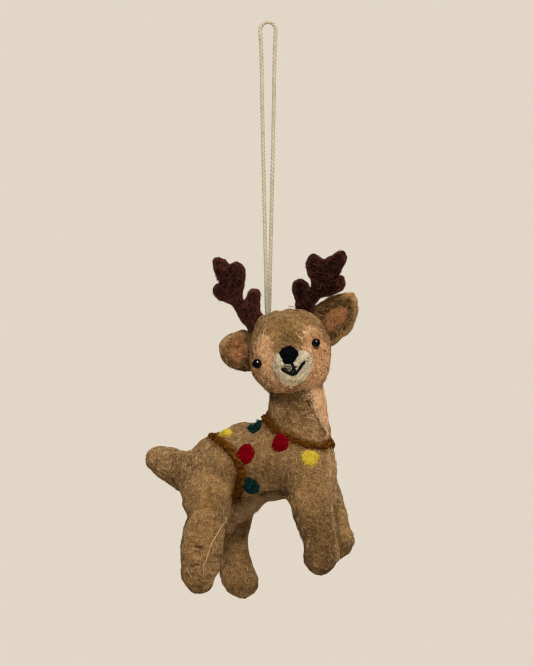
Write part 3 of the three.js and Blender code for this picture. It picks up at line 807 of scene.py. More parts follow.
def twisted(path, r, plies, pitch, sides=15, taper=None, phase=0.0, valley=0.24):
    """A tube whose section is that many round plies, turning once every pitch."""
    T, N, Bn = frames(path)
    L = np.r_[0, np.cumsum(np.linalg.norm(np.diff(path, axis=0), axis=1))]
    th = np.linspace(0, 2 * np.pi, sides, endpoint=False)
    rad = r * (1 - valley + valley * np.abs(np.cos(plies * th / 2.0)) ** 0.7)
    scale = np.ones(len(path)) if taper is None else taper(L / L[-1])
    ang = th[None, :] + (2 * np.pi * L / pitch)[:, None] + phase
    rs = rad[None, :] * scale[:, None]
    V = path[:, None, :] + (rs * np.cos(ang))[..., None] * N[:, None, :] + (rs * np.sin(ang))[..., None] * Bn[:, None, :]
    n, s = len(path), sides
    i = np.arange(n - 1)[:, None] * s
    j = np.arange(s)[None, :]
    jn = (j + 1) % s
    Q = np.stack([i + j, i + jn, i + s + jn, i + s + j], -1).reshape(-1, 4)
    V = np.concatenate([V.reshape(-1, 3), path[:1], path[-1:]])
    a, b = n * s, n * s + 1
    jj = np.arange(s)
    caps = np.concatenate([np.stack([np.full(s, a), (jj + 1) % s, jj], 1), np.stack([np.full(s, b), (n - 1) * s + jj, (n - 1) * s + (jj + 1) % s], 1)])
    return V, [Q, caps]


def ply_painted_shade(n_path, sides, plies, deep):
    """Painted shade of a twisted tube's vertices: darker in the valleys between its plies."""
    th = np.linspace(0, 2 * np.pi, sides, endpoint=False)
    prof = deep + (1.06 - deep) * np.abs(np.cos(plies * th / 2.0)) ** 0.8
    return np.concatenate([np.tile(prof, n_path), [deep, deep]])


def plied(path, r, pitch, taper=None, sides=10, seed=0):
    """Yarn of two soft plies wound round each other, and its tone, with painted shade where the plies meet."""
    T, N, Bn = frames(path)
    L = np.r_[0, np.cumsum(np.linalg.norm(np.diff(path, axis=0), axis=1))]
    wob = 1 + 0.1 * np.sin(L * 1.3 + seed) + 0.07 * np.sin(L * 2.9 + 2 * seed)
    wide = wob * (taper(L / L[-1]) if taper else 1.0)
    parts, tone = [], []
    for k in (0, 1):
        ang = 2 * np.pi * L / pitch + np.pi * k + 0.35 * np.sin(L * 0.6 + seed)
        c = path + (0.55 * r * wide)[:, None] * (np.cos(ang)[:, None] * N + np.sin(ang)[:, None] * Bn)
        V, faces = twisted(c, 0.62 * r, 3, 2.3, sides=sides, taper=lambda t: np.interp(t, L / L[-1], wide), valley=0.2)
        far_ = np.linalg.norm(V[:-2].reshape(len(path), sides, 3) - path[:, None], axis=-1) / (r * wide[:, None])
        # painted shade: each ply darker toward the yarn's middle, where the plies meet
        tone.append(np.concatenate([(0.46 + 0.62 * smooth01(far_, 0.45, 1.15)).ravel(), [0.4, 0.4]]))
        parts.append((V, faces))
    return (*merge(parts), np.concatenate(tone))


def merge(parts):
    Vs, fs, o = [], {}, 0
    for V, faces in parts:
        for f in faces if isinstance(faces, list) else [faces]:
            fs.setdefault(f.shape[1], []).append(f + o)
        Vs.append(V)
        o += len(V)
    return np.concatenate(Vs), [np.concatenate(v) for v in fs.values()]


def blunt(a=0.03, b=0.03):
    """Ends of a strand drawn in to a point."""
    return lambda t: np.sqrt(np.clip(np.minimum(t / a, (1 - t) / b), 0.02, 1))


# ------------------------------------------------------------------ wool fibres as fine tapered hairs
def hairs(name, fld, seeds, n, mats, seed, weights=None, length=(2.2, 6.0), radius=(0.03, 0.068), lift=(0.03, 0.22),
          fly=0.05, fly_lift=0.9, curl=2.2, m=6, flow=None, pick=None):
    rng = np.random.default_rng(seed)
    P = np.array(seeds[rng.integers(len(seeds), size=n)], F)
    P = onto(fld, P + rng.normal(scale=0.3, size=P.shape).astype(F), 0.0, 3)
    start = P
    Nn = normals(fld, P)
    T = rng.normal(size=(n, 3)).astype(F)
    if flow is not None:
        T = T + np.asarray(flow, F)
    T -= (T * Nn).sum(-1, keepdims=True) * Nn
    T /= np.maximum(np.linalg.norm(T, axis=-1, keepdims=True), 1e-6)
    step = (rng.uniform(*length, n) / (m - 1)).astype(F)[:, None]
    turn = rng.normal(scale=curl, size=n) / (m - 1)
    up = rng.uniform(*lift, n)
    flying = rng.random(n) < fly
    flyh = rng.uniform(0.35, 1.0, n) * fly_lift
    pts = []
    for k in range(m):
        s = k / (m - 1)
        hgt = np.where(flying, -0.1 + flyh * s ** 1.3, -0.12 + (up + 0.12) * math.sin(math.pi * s))
        pts.append(P + Nn * hgt[:, None].astype(F))
        P = P + T * step
        P = P - fld(P)[:, None] * Nn * F(0.9)
        Nn = normals(fld, P)
        T = T - (T * Nn).sum(-1, keepdims=True) * Nn
        T /= np.maximum(np.linalg.norm(T, axis=-1, keepdims=True), 1e-6)
        a = (turn + rng.normal(scale=0.22, size=n)).astype(F)[:, None]
        T = T * np.cos(a) + np.cross(Nn, T) * np.sin(a)
    C = np.stack(pts, 1).astype(float)
    ok = np.linalg.norm(np.diff(C, axis=1), axis=-1).max(1) < 3.0
    which = rng.choice(len(mats), size=n, p=weights) if pick is None else pick(start, rng)
    return hair_mesh(name, C[ok], rng.uniform(*radius, n)[ok], mats, which[ok])


def hair_mesh(name, C, rad, mats, which):
    n, m, _ = C.shape
    T = np.gradient(C, axis=1)
    T /= np.maximum(np.linalg.norm(T, axis=-1, keepdims=True), 1e-9)
    X = np.cross(T, np.array([0.31, 0.52, 0.79]))
    X /= np.maximum(np.linalg.norm(X, axis=-1, keepdims=True), 1e-9)
    Y = np.cross(T, X)
    ring = []
    for k in range(1, m - 1):
        w = rad * (0.75 + 0.25 * math.sin(math.pi * k / (m - 1)))
        for s in range(3):
            a = 2 * math.pi * s / 3
            ring.append(C[:, k] + (X[:, k] * math.cos(a) + Y[:, k] * math.sin(a)) * w[:, None])
    per = 3 * (m - 2) + 2
    V = np.stack([C[:, 0]] + ring + [C[:, -1]], 1).reshape(-1, 3)
    tri, quad = [], []
    last = 1 + 3 * (m - 3)
    for s in range(3):
        t = (s + 1) % 3
        tri += [[0, 1 + t, 1 + s], [per - 1, last + s, last + t]]
        for k in range(m - 3):
            a = 1 + 3 * k
            quad.append([a + s, a + t, a + 3 + t, a + 3 + s])
    off = (np.arange(n) * per)[:, None, None]
    Tt = (np.array(tri)[None] + off).reshape(-1, 3)
    Qq = (np.array(quad)[None] + off).reshape(-1, 4)
    fm = np.concatenate([np.repeat(which, len(tri)), np.repeat(which, len(quad))])
    return piece(name, V, [Tt, Qq], mats, fm)


def along(name, fld, path, n, mats, seed, length=(4.0, 9.0), radius=(0.04, 0.08), jitter=0.4, lift=(0.05, 0.3), m=7):
    """Fibres that run along a path on the surface."""
    rng = np.random.default_rng(seed)
    path = resample(path, 0.5)
    total = (len(path) - 1) * 0.5
    ln = rng.uniform(*length, n)
    s0 = rng.uniform(-2, max(total - 2, 1), n)
    s = np.clip(s0[:, None] + ln[:, None] * np.linspace(0, 1, m)[None], 0, total)
    k = s / 0.5
    C = np.stack([np.interp(k, np.arange(len(path)), path[:, i]) for i in range(3)], -1)
    C = C + rng.normal(scale=jitter, size=(n, 1, 3)) + rng.normal(scale=jitter * 0.4, size=C.shape)
    C = onto(fld, C.reshape(-1, 3).astype(F), 0.0, 4)
    up = rng.uniform(*lift, n)[:, None] * np.sin(np.pi * np.linspace(0, 1, m))[None] - 0.05
    C = (C + normals(fld, C) * up.reshape(-1, 1).astype(F)).reshape(n, m, 3).astype(float)
    return hair_mesh(name, C, rng.uniform(*radius, n), mats, rng.integers(len(mats), size=n))


def strand(px_path, fld, radius, lift, step=0.5, sides=6, base=0.0):
    """One loose fibre laid over a surface along image places."""
    pts = np.array([front_px(fld, x, y)[0] for x, y in px_path])
    path = onto(fld, resample(spline(pts, 8), step).astype(F), 0.0, 3).astype(float)
    n = normals(fld, path.astype(F))
    t = np.linspace(0, 1, len(path))
    path = path + n * (base + lift * np.sin(np.pi * t))[:, None]
    return twisted(path, radius, 2, 3.0, sides=sides, taper=blunt(0.15, 0.2), valley=0.15)


# ------------------------------------------------------------------ materials
M_BROWN = felt("felt_brown", "87643B", "AA8856", "573F25", toned=True)
M_GUSSET = felt("felt_brown_belly", "7E654A", "A08666", "54422F", strands=0.4, toned=True)
M_HEADB = felt("felt_head_brown", "86643C", "A98656", "574225", toned=True)
M_EAR = felt("felt_ear_brown", "6B4D2B", "8E6E45", "422F19", toned=True)
M_PEACH = felt("felt_peach", "BB9469", "DFBE96", "926B47", strands=0.8, blotch="8E6040", toned=True)
M_BIB = felt("felt_bib", "AE8E69", "DCC09C", "8A664A", strands=0.8, blotch="966A4C", toned=True)
M_CREAM = felt("felt_cream", "C6B48F", "E2D5B6", "9E8E72", fine=1.1, relief=0.7, strands=0.6, toned=True)
M_ANTLER = felt("felt_antler", "26110D", "553126", "140806", strands=0.7, sheen=0.0, toned=True)
M_RUST = felt("felt_rust", "8F5B38", "B98058", "6A3E22")
M_BLACK = felt("felt_black", "05070A", "12151B", "020304", strands=0.6, sheen=0.0)
M_RED = felt("felt_red", "6A0008", "9C0818", "320003", fine=1.4, strands=0.6, sheen=0.0)
M_YELLOW = felt("felt_yellow", "BE9F14", "DEC63C", "8C700C", fine=1.4, strands=0.7, sheen=0.0)
M_GREEN = felt("felt_green", "071A19", "113F3D", "04110F", fine=1.4, strands=0.6, sheen=0.0)
M_YARN = felt("yarn_brown", "482808", "90591A", "201003", fine=1.6, strands=0.7, sheen=0.0, toned=True)
M_WOOL = felt("wool_fill", "D9D3C2", "F3EFE4", "B4AD99", fine=0.8)
M_COTTON = felt("cotton_cord", "C6BCA5", "E2D9C6", "A4987F", fine=2.2, strands=0.3, sheen=0.03, toned=True)
M_THREAD = felt("thread_black", "0B0B0E", "25262B", "040405", fine=2.6, strands=0.4, sheen=0.03)
M_GREYTH = felt("thread_grey", "6F6B58", "918C77", "454236", fine=2.6, strands=0.4, sheen=0.03)
M_SEAM = felt("thread_brown", "2C1E0E", "4A3720", "171006", fine=2.6, strands=0.4, sheen=0.0)
M_BEAD = glass_bead("bead_black")
H_TAN = fibre("hair_tan", "947145")
H_PALE = fibre("hair_pale", "C2A67A")
H_MID = fibre("hair_mid", "785835")
H_DEEP = fibre("hair_deep", "261809")
H_DARK = fibre("hair_dark", "45311D")
H_GOLD = fibre("hair_gold", "977240")
H_PEACH = fibre("hair_peach", "DDB488")
H_PEACHD = fibre("hair_peach_deep", "B07C4F")
H_BLUSH = fibre("hair_blush", "8A5636")
H_CREAM = fibre("hair_cream", "DFD3B6")
H_SLATE = fibre("hair_slate", "4E4844")
H_STRAW = fibre("hair_straw", "D6C3A0")
H_GREY = fibre("hair_grey", "90866E")
H_ANT = fibre("hair_antler", "2C1510")
H_ANTL = fibre("hair_antler_light", "64392D")
H_RUST = fibre("hair_rust", "B87C54")
H_RUSTD = fibre("hair_rust_deep", "663A20")
H_BLACK = fibre("hair_black", "07080A")
H_INK = fibre("hair_ink", "0E1115")
H_RED = fibre("hair_red", "74000A")
H_REDL = fibre("hair_red_light", "94081A")
H_YEL = fibre("hair_yellow", "CAB02C")
H_YELL = fibre("hair_yellow_light", "DECB58")
H_GRN = fibre("hair_green", "0A1D1B")
H_GRNL = fibre("hair_green_light", "174B49")
H_YARN = fibre("hair_yarn", "6A3A08")
H_YARNL = fibre("hair_yarn_light", "845217")
H_COT = fibre("hair_cotton", "D3C6A8")

BODY = "reindeer"


def done(ob, nodes=(), slot=None, body=BODY):
    if body:
        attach(ob, body)
    if nodes:
        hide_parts(*nodes)
    return ob


def toned(P, base, spots):
    """Tone at image places, for painted light and shade and for colour: each spot adds its share round its middle."""
    px, py, d = px_of(P)
    t = np.full(px.shape, base)
    for x, y, rx, ry, a in spots:
        t = t + a * bell(px - x, rx) * bell(py - y, ry)
    return t, px, py, d


def body_painted_shading(P):
    """Painted light and shade on the body wool: painted shade under the barrel and tail, in the hollow between front
    leg and belly, at the throat, toward the feet and in the stitch pits; painted light on the haunch, the tops of rump
    and tail, the chest's edge and the flank above the belly seam; darker along the belly seam and beside the garland
    yarn.
    """
    t, px, py, d = toned(P, 1.05, ((212, 470, 22, 22, 0.09), (203, 444, 14, 6, 0.22), (272, 470, 22, 13, -0.3), (300, 474, 13, 17, -0.3), (333, 462, 4, 14, 0.25),
                                  (288, 487.5, 6.5, 5.5, -0.45), (267, 487.5, 8, 3, 0.2), (196, 588, 15, 11, -0.48), (173, 479, 14, 6, -0.3), (295, 415, 17, 16, -0.42),
                                  (240, 590, 14, 10, -0.36), (240, 572, 16, 18, -0.26), (348, 547, 8, 8, -0.42), (262, 487.5, 6, 4, 0.2), (226, 521, 5, 6, 0.15), (343, 515, 7, 22, -0.08), (198, 548, 2.6, 2.2, -0.22), (198, 565, 2.4, 1.5, -0.4), (215, 547.5, 1.8, 1.8, -0.25), (204, 583.5, 1.8, 1.5, -0.35), (198.8, 587, 2, 1.6, -0.3), (206.6, 541.6, 2.4, 1, -0.4), (193.6, 574.5, 2.2, 1.5, -0.35), (160, 452, 12, 5, 0.12)))
    # the near front leg darker toward its foot, partly its own darker felt and partly painted shade
    leg = smooth01(px, 290, 297) * (1 - smooth01(px, 334, 339)) * smooth01(-P[..., 1], -2, 4)
    t = t - leg * (0.46 * smooth01(py, 488, 530) + 0.06 * smooth01(py, 540, 568))
    # painted shadow at the top of the neck, under the chin
    t = t - 0.7 * (1 - smooth01(py, 397, 411)) * smooth01(px, 262, 270)
    # painted shade on the far front leg beside the near leg's contour
    rim = px - np.interp(py, FRONT_PY, FRONT_PX)
    t = t - 0.75 * bell(rim, 3.2) * smooth01(P[..., 1], 0.0, 3.0) * smooth01(py, 474, 505) * smooth01(P[..., 0], 10, 16)
    t = t + 0.3 * bell(px - np.interp(py, RIDGE_PY, RIDGE_PX), 0.9) * smooth01(-P[..., 1], -1.5, 2.5) * smooth01(py, 445, 460) * smooth01(P[..., 0], 10, 16)
    g, there = belly_edge(P)
    t = t - 0.6 * there * bell(g + 0.1, 0.8) * smooth01(px, 254, 264)
    M = np.array(P, F)
    M[..., 1] = -np.abs(M[..., 1])
    mx_, my_, _d = px_of(M)
    t = t - 0.26 * np.maximum(bell(line_dist(mx_, my_, NECK_NEAR), 4.2), bell(line_dist(mx_, my_, WAIST_NEAR), 4.2))
    # painted shadow of the near hind leg on the top of the far hind leg
    t = t - 0.52 * smooth01(P[..., 1], 1, 4) * smooth01(px, 221, 226) * (1 - smooth01(px, 250, 254)) * smooth01(py, 516, 522) * (1 - smooth01(py - 0.75 * (247.5 - px), 531, 543))
    return t + 0.05 * lump_b(P + 7)


def head_tone_and_painted_shade(P):
    """Browner and lighter spots on cheek, bridge and chin, with painted shade beside the bridge and along the underside
    of the chin.
    """
    t, px, py, d = toned(P, 1.0, ((257.5, 381, 5, 6, 0.36), (264, 338, 5, 4, 0.12), (272, 391, 8, 5, 0.3), (254.5, 349, 3.6, 12, -0.32), (266, 347, 6, 11, 0.16), (266, 375, 8, 6, -0.42), (289, 341, 9, 8, -0.34), (320, 368, 8, 14, -0.06), (300.5, 341, 4, 5, -0.34), (290, 391, 20, 5, -0.26),
                                  (321, 346, 5, 6, -0.1), (309, 329, 6, 4, 0.1), (312, 387, 8, 4, 0.36)))
    return np.where(d > -2, t, 1.0) + 0.05 * lump_b(P + 17)


def rim_painted_shading(poly, inside, edge, width, low=None, top=None):
    """Painted light and shade on an ear or antler: lighter toward the cut edge, darker in its middle, darker toward the
    bottom where low is given, and lightest along an edge that faces up.
    """
    def tone(P):
        sd = poly_sd(poly, P @ RIGHT.astype(F), P[..., 2])
        t = inside + (edge - inside) * (1 - smooth01(-sd, 0.3, width))
        if low:
            t = t * (1 - low[2] * smooth01(px_of(P)[1], low[0], low[1]))
        if top:
            t = t + top[2] * (1 - smooth01(-sd, 0.4, top[3])) * (1 - smooth01(px_of(P)[1], top[0], top[1]))
        return t + 0.06 * lump_b(P + 27)
    return tone


# ------------------------------------------------------------------ hanging cord, built first
CORD_R, BIGHT_R = 0.8, 3.3
LOOP_END, HALF_END = -113.6, 0.72
BZ = -(BIGHT_R - CORD_R)


def half_at(z):
    t = (z - BZ) / (LOOP_END - BZ)
    a = BIGHT_R - 0.35 * min(1.0, t * 12)
    return a + (HALF_END - a) * t ** 1.25


side = [(half_at(z), z) for z in np.linspace(LOOP_END, BZ, 23)]
pts = [world(-h, z, 0.0) for h, z in side]
pts += [world(BIGHT_R * math.cos(a), BZ + BIGHT_R * math.sin(a), 0.0) for a in [math.pi - math.pi * i / 12 for i in range(1, 12)]]
pts += [world(h, z, 0.0) for h, z in reversed(side)]
smooth_loop = spline(np.array(pts), 8)
loop_path = resample(smooth_loop, 0.25)



def cord_tone(V):
    """The cord darkens where its ends are plied together."""
    return 1.0 - 0.18 * smooth01(-V[:, 2], 106, 118)


V, Fc = twisted(loop_path, 0.88, 3, -5.2, sides=24, valley=0.36)
# the loop's tone: painted shade in the valleys between its plies, and darker toward its lower end
loop = piece("hang_cord_loop_twisted", V, Fc, M_COTTON, tone=cord_tone(V) * ply_painted_shade(len(loop_path), 24, 3, 0.6))
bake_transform(loop)
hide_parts("hang_cord_loop")


def pair_paths(z0, z1):
    """The two strands of the cord wound round each other between heights z0 and z1."""
    zz = np.linspace(z0, z1, max(8, int(abs(z1 - z0) / 0.22)))
    for s in (0, 1):
        ang = math.pi * s + TURN + math.pi + (LOOP_END - zz) * (2 * math.pi / 75.0)
        rr = np.interp(zz, [-127, -121, LOOP_END], [0.62, 0.7, HALF_END])
        yield np.stack([rr * np.cos(ang), rr * np.sin(ang), zz], 1)


def plied_pair(z0, z1, phase0, name, nodes):
    both = list(pair_paths(z0, z1))
    V, Fc = merge([twisted(p, 0.92, 3, -5.2, sides=24, phase=phase0, valley=0.36) for p in both])
    # painted shade in the valleys between the plies, and darker toward the lower end
    ob = piece(name, V, Fc, M_COTTON, tone=cord_tone(V) * np.concatenate([ply_painted_shade(len(p), 24, 3, 0.52) for p in both]))
    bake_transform(ob)
    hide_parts(*nodes)
    return ob


shank = plied_pair(LOOP_END + 0.15, -121.6, 0.4, "hang_cord_plied_shank", ["hang_cord_shank"])
sewn_end = plied_pair(-121.45, -127.6, 0.9, "hang_cord_plied_end", ["hang_cord_end"])

# ------------------------------------------------------------------ body and legs
P = grid((-63, -25, -252), (43, 25, -152), 0.6)
Fb = body_field(P)
body_read = sampled(Fb, P[0, 0, 0], 0.6)
V, Q = surface(np.maximum(Fb, -(head_raw(P) + 1.6)), P[0, 0, 0], 0.6)
V, Q = biggest(V, Q)
V = relax(V, Q, 1, 0.35)
Q = Q[np.abs(body_field(centres(V, Q))) < 0.5]
cen = centres(V, Q)
owner = np.zeros(len(cen), int)
trunk_c = trunk_raw(cen)
legs_c = {n: chain_field(cen, ch) for n, ch in LEGS.items()}
for i, n in enumerate(LEGS):
    others = np.minimum.reduce([legs_c[m] for m in LEGS if m != n])
    owner[(legs_c[n] < trunk_c) & (legs_c[n] <= others)] = i + 1
in_bib = (bib_edge(cen) < 0) & (owner == 0)
g_, there_ = belly_edge(cen)
in_gus = (owner == 0) & (g_ < 0) & (there_ > 0.5)
# the bib's edge vertices go onto its cut line
touch = np.zeros((2, len(V)), bool)
touch[0, Q[in_bib].ravel()] = True
touch[1, Q[~in_bib].ravel()] = True
edge = np.flatnonzero(touch[0] & touch[1])
for _ in range(3):
    q = V[edge].astype(F)
    e0 = bib_edge(q)
    g = np.stack([bib_edge(q + np.eye(3, dtype=F)[i] * F(0.1)) - e0 for i in range(3)], 1)
    g /= np.maximum(np.linalg.norm(g, axis=1, keepdims=True), 1e-6)
    V[edge] -= np.clip(e0, -0.5, 0.5)[:, None] * g
V[edge] = onto(body_field, V[edge].astype(F), 0.0, 2)
N = normals(body_field, V.astype(F), 0.35)
regions = {
    "body_cover_right_felt": ((owner == 0) & ~in_bib & ~in_gus & (cen[:, 1] <= 0), "body_cover_right", M_BROWN, "felt_brown"),
    "body_cover_left_felt": ((owner == 0) & ~in_bib & ~in_gus & (cen[:, 1] > 0), "body_cover_left", M_BROWN, "felt_brown"),
    "belly_gusset_felt": (in_gus, "belly_gusset", M_GUSSET, "felt_brown"),
    "chest_bib_felt": (in_bib, "chest_bib", M_BIB, "felt_peach"),
}
for i, n in enumerate(LEGS):
    regions["leg_%s_felt" % n] = (owner == i + 1, "leg_cover_" + n, M_BROWN, "felt_brown")
seeds = {}
for name, (sel, node, mat, slot_name) in regions.items():
    v, nn, q = sub(V, N, Q, sel)
    v, f = shell(v, q, nn, 1.3)
    # brown felt takes the body's painted shading; the bib gets painted shade at its top under the chin, is darker along
    # its cut edge and is blotched at random
    tn = body_painted_shading(v.astype(F)) if slot_name == "felt_brown" else 1.04 - 0.3 * smooth01(v[:, 2], -161, -156) - 0.36 * bell(bib_edge(v.astype(F)) + 1.2, 1.7) + 0.17 * lump_b(v.astype(F))
    if node == "belly_gusset":
        g, there = belly_edge(v.astype(F))
        gx = px_of(v.astype(F))[0]
        # the gusset: painted light toward its back end, painted shade toward its front and under the flank's overhang
        # along the seam
        tn = 1.34 - 0.32 * smooth01(gx, 250, 264) - 0.72 * smooth01(gx, 252, 264) * (1 - smooth01(-g, 0.7, 1.7)) + 0.05 * lump_b(v.astype(F))
    done(piece(name, v, f, mat, tone=tn), [node], slot_name)
    seeds[name] = cen[sel]

# ------------------------------------------------------------------ head cover
P = grid((-12, -24, -164), (34, 24, -116), 0.55)
Fh = head_field(P)
head_read = sampled(Fh, P[0, 0, 0], 0.55)
V, Q = surface(Fh, P[0, 0, 0], 0.55)
V, Q = biggest(V, Q)
V = relax(V, Q, 1, 0.35)
N = normals(head_field, V.astype(F), 0.3)
hc = centres(V, Q)
keep = chain_field(hc, NECK) > -2.5                     # open toward the neck
v, nn, q = sub(V, N, Q, keep)
v, f = shell(v, q, nn, 1.4)
done(piece("head_cover_felt", v, f, M_HEADB, tone=head_tone_and_painted_shade(v.astype(F))), ["head_cover"], "felt_brown")
seeds["head"] = hc[keep]

# ------------------------------------------------------------------ face: mask, muzzle, nose, mouth
FACE_LO, FACE_HI = (-12, -26, -164), (36, 8, -120)
MASK = outline(np.array([(257.6, 338.5), (261.4, 334), (266, 334.5), (271, 340), (274.5, 348), (277, 356), (283, 362), (293, 363), (299, 358), (301, 350),
                        (300.5, 338), (301.5, 328.5), (305, 324), (311.5, 323.8), (317, 328), (322, 335.4), (326.4, 343.6), (330.5, 353), (331, 364), (330.5, 372),
                        (327, 384), (318, 393), (300, 398), (282, 398), (273, 393), (266.5, 385.5), (260.5, 377.5), (254.5, 369.5), (252, 362), (252, 354), (254.2, 345)]), 1.0)
MUZZLE = outline(np.array([(275, 356.5), (278, 352.8), (282.5, 352.8), (288, 356), (294.5, 353.5), (301, 349.8), (307, 350.3), (311.5, 355), (313.4, 362),
                          (312.8, 369.5), (309.5, 376), (304, 382), (297.5, 386), (291, 387.3), (284.5, 385.3), (279, 380.5), (275, 374.5), (273, 368), (273, 361.5)]), 0.8)
NOSE = outline(np.array([(280.2, 354), (281.6, 351), (285, 348.4), (286.6, 347.5), (290.6, 347.3), (294, 349.3), (297.4, 352.4), (298, 355.4), (296.4, 358.6), (294.2, 361.6),
                        (292.6, 363.6), (289, 363.6), (286.5, 364), (283, 364.2), (282.2, 360.5), (281, 357.2)]), 0.7)
MASK_SD, MUZZLE_SD, NOSE_SD = flat_map(MASK), flat_map(MUZZLE), flat_map(NOSE)
MOUTH = [(281.2, 368), (283.4, 370.2), (286.9, 372), (290.4, 373.4), (293.6, 373.7), (296.6, 371.9), (299, 369), (301.2, 365.6), (303.7, 362.4), (305.2, 361)]
MUZZLE_FOLD = [(314, 356.2), (309, 356.6), (305.6, 357.4)]
edge_a = waves(31, 3.4, 16)
edge_b = waves(32, 1.6, 18)


def patch(P, base, lo, hi, fn):
    """fn where the base field lies between lo and hi, and clear space elsewhere."""
    b = base.reshape(-1)
    near = (b > lo) & (b < hi)
    out = np.full(b.shape, 3.0, F)
    out[near] = fn(P.reshape(-1, 3)[near], b[near])
    return out.reshape(base.shape)


def mask_fn(P, h):
    px, py, d = px_of(P)
    sd = MASK_SD(px, py) * SCALE + 0.75 * edge_a(P) + 0.3 * edge_b(P)
    off = 1.55 * smooth01(-sd, -1.8, 2.0) - 1.2 - 2.0 * smooth01(2.0 - d, 0, 3)
    off = off + 0.1 * lump_c(P * 1.1) + 0.05 * edge_b(P)
    return np.maximum(h - off, -(h + 0.8))


def mask_field(P):
    return patch(P, head_field(P), -2.0, 2.0, mask_fn)


def muzzle_fn(P, h):
    px, py, _d = px_of(P)
    sd = MUZZLE_SD(px, py) * SCALE + 0.25 * edge_b(P)
    ins = np.clip(-sd / 7.0, 0, 1)
    rise = 4.2 * np.sqrt(np.clip(1 - (1 - ins) ** 2, 0, 1)) - 0.45
    for x, y, a, s in ((279.5, 359.5, 0.6, 5.0), (304.5, 358.5, 0.8, 5.5), (291, 380, 0.5, 7.0)):
        rise = rise + a * np.exp(-((px - x) ** 2 + (py - y) ** 2) / s ** 2) * np.clip(ins * 3, 0, 1)
    rise = rise - 0.7 * bell(line_dist(px, py, MOUTH) * SCALE, 0.75)
    rise = rise + 0.15 * lump_b(P * 1.9) + 0.1 * lump_c(P * 1.3) - 0.5 * bell(line_dist(px, py, MUZZLE_FOLD) * SCALE, 0.6) - 2.0 * smooth01(sd, -0.2, 0.7)
    return np.maximum((h - rise) * 0.8, -(h + 0.9))


def muzzle_field(P):
    return patch(P, head_raw(P), -2.2, 8.0, muzzle_fn)


def nose_field(P):
    px, py, d = px_of(P)
    sd = NOSE_SD(px, py) * SCALE - 0.5
    ins = np.clip(-sd / 3.7, 0, 1)
    top = 22.1 + 0.5 * smooth01(py, 356, 363) + 2.9 * np.sqrt(np.clip(1 - (1 - ins) ** 2, 0, 1)) + 0.1 * lump_c(P * 1.2)
    return smax(smax((d - top) * 0.85, sd, 1.0), 18.3 - d, 0.5).astype(F)


P = grid(FACE_LO, FACE_HI, 0.42)
Fm = mask_field(P)
mask_read = sampled(np.minimum(Fm, head_field(P)), P[0, 0, 0], 0.42)
V, Q = biggest(*surface(Fm, P[0, 0, 0], 0.42))
V = relax(V, Q, 1, 0.4)
done(piece("face_mask_wool", V, Q, M_PEACH, tone=head_tone_and_painted_shade(V.astype(F))), ["face_mask"], "felt_peach")
seeds["mask"] = centres(V, Q)
seeds["mask"] = seeds["mask"][head_field(seeds["mask"]) > -0.1]
V, Q = solid_of(muzzle_field, (-2, -26, -158), (28, 4, -134), 0.36)
# painted light: the muzzle darker at its top and much lighter over its lower part, which faces down
done(piece("muzzle_wool", V, Q, M_CREAM, tone=0.82 + 1.1 * smooth01(px_of(V.astype(F))[1], 366, 385)), ["muzzle"], "felt_cream")
seeds["muzzle"] = centres(V, Q)
seeds["muzzle"] = seeds["muzzle"][head_raw(seeds["muzzle"]) > 0.2]
V, Q = solid_of(nose_field, (6, -24, -149), (24, -8, -137), 0.3, 2)
done(piece("nose_wool", V, Q, M_BLACK), ["nose"], "felt_black")
seeds["nose"] = centres(V, Q)


def face_field(P):
    return np.minimum(np.minimum(head_field(P), np.maximum(mask_field(P), -3)), np.minimum(muzzle_field(P), nose_field(P)))


def thread_on(px_path, lift, r, plies=2, pitch=1.9, step=0.16, taper=None):
    pts = np.array([front_px(muzzle_field, x, y, 32.0)[0] for x, y in px_path])
    path = resample(spline(pts, 10), step)
    path = path + OUT * lift
    return twisted(path, r, plies, pitch, sides=12, taper=taper or blunt(0.06, 0.06), valley=0.28)


mouth = merge([thread_on(MOUTH, 0.3, 0.72),
               thread_on([(286, 371.4), (289, 373), (292, 374.1), (295, 373.4), (297.6, 371.4)], 0.35, 0.84, pitch=2.4),
               thread_on([(291.4, 362.6), (292.6, 365.4), (294, 368.4), (294.6, 371.6)], 0.3, 0.7, pitch=2.6),
               thread_on([(297, 366.4), (294.8, 367.4), (292.6, 369.4), (291.2, 372.4)], 0.2, 0.42),
               thread_on([(283, 367.6), (285.4, 368.6), (288, 370.2)], 0.25, 0.4)])
done(piece("mouth_thread_twist", *mouth, M_THREAD), ["mouth_thread"], "thread_black")
grey = merge([thread_on([(283.6, 366.4), (286, 365.8), (289.2, 366), (291.4, 367.6)], 0.1, 0.46),
              thread_on([(285.4, 368), (288, 367.4), (291, 368.6)], 0.12, 0.46), thread_on([(287.4, 369.6), (289.4, 369.2), (291, 370.6)], 0.12, 0.4)])
done(piece("mouth_stitches_grey", *grey, M_GREYTH), (), "thread_black")


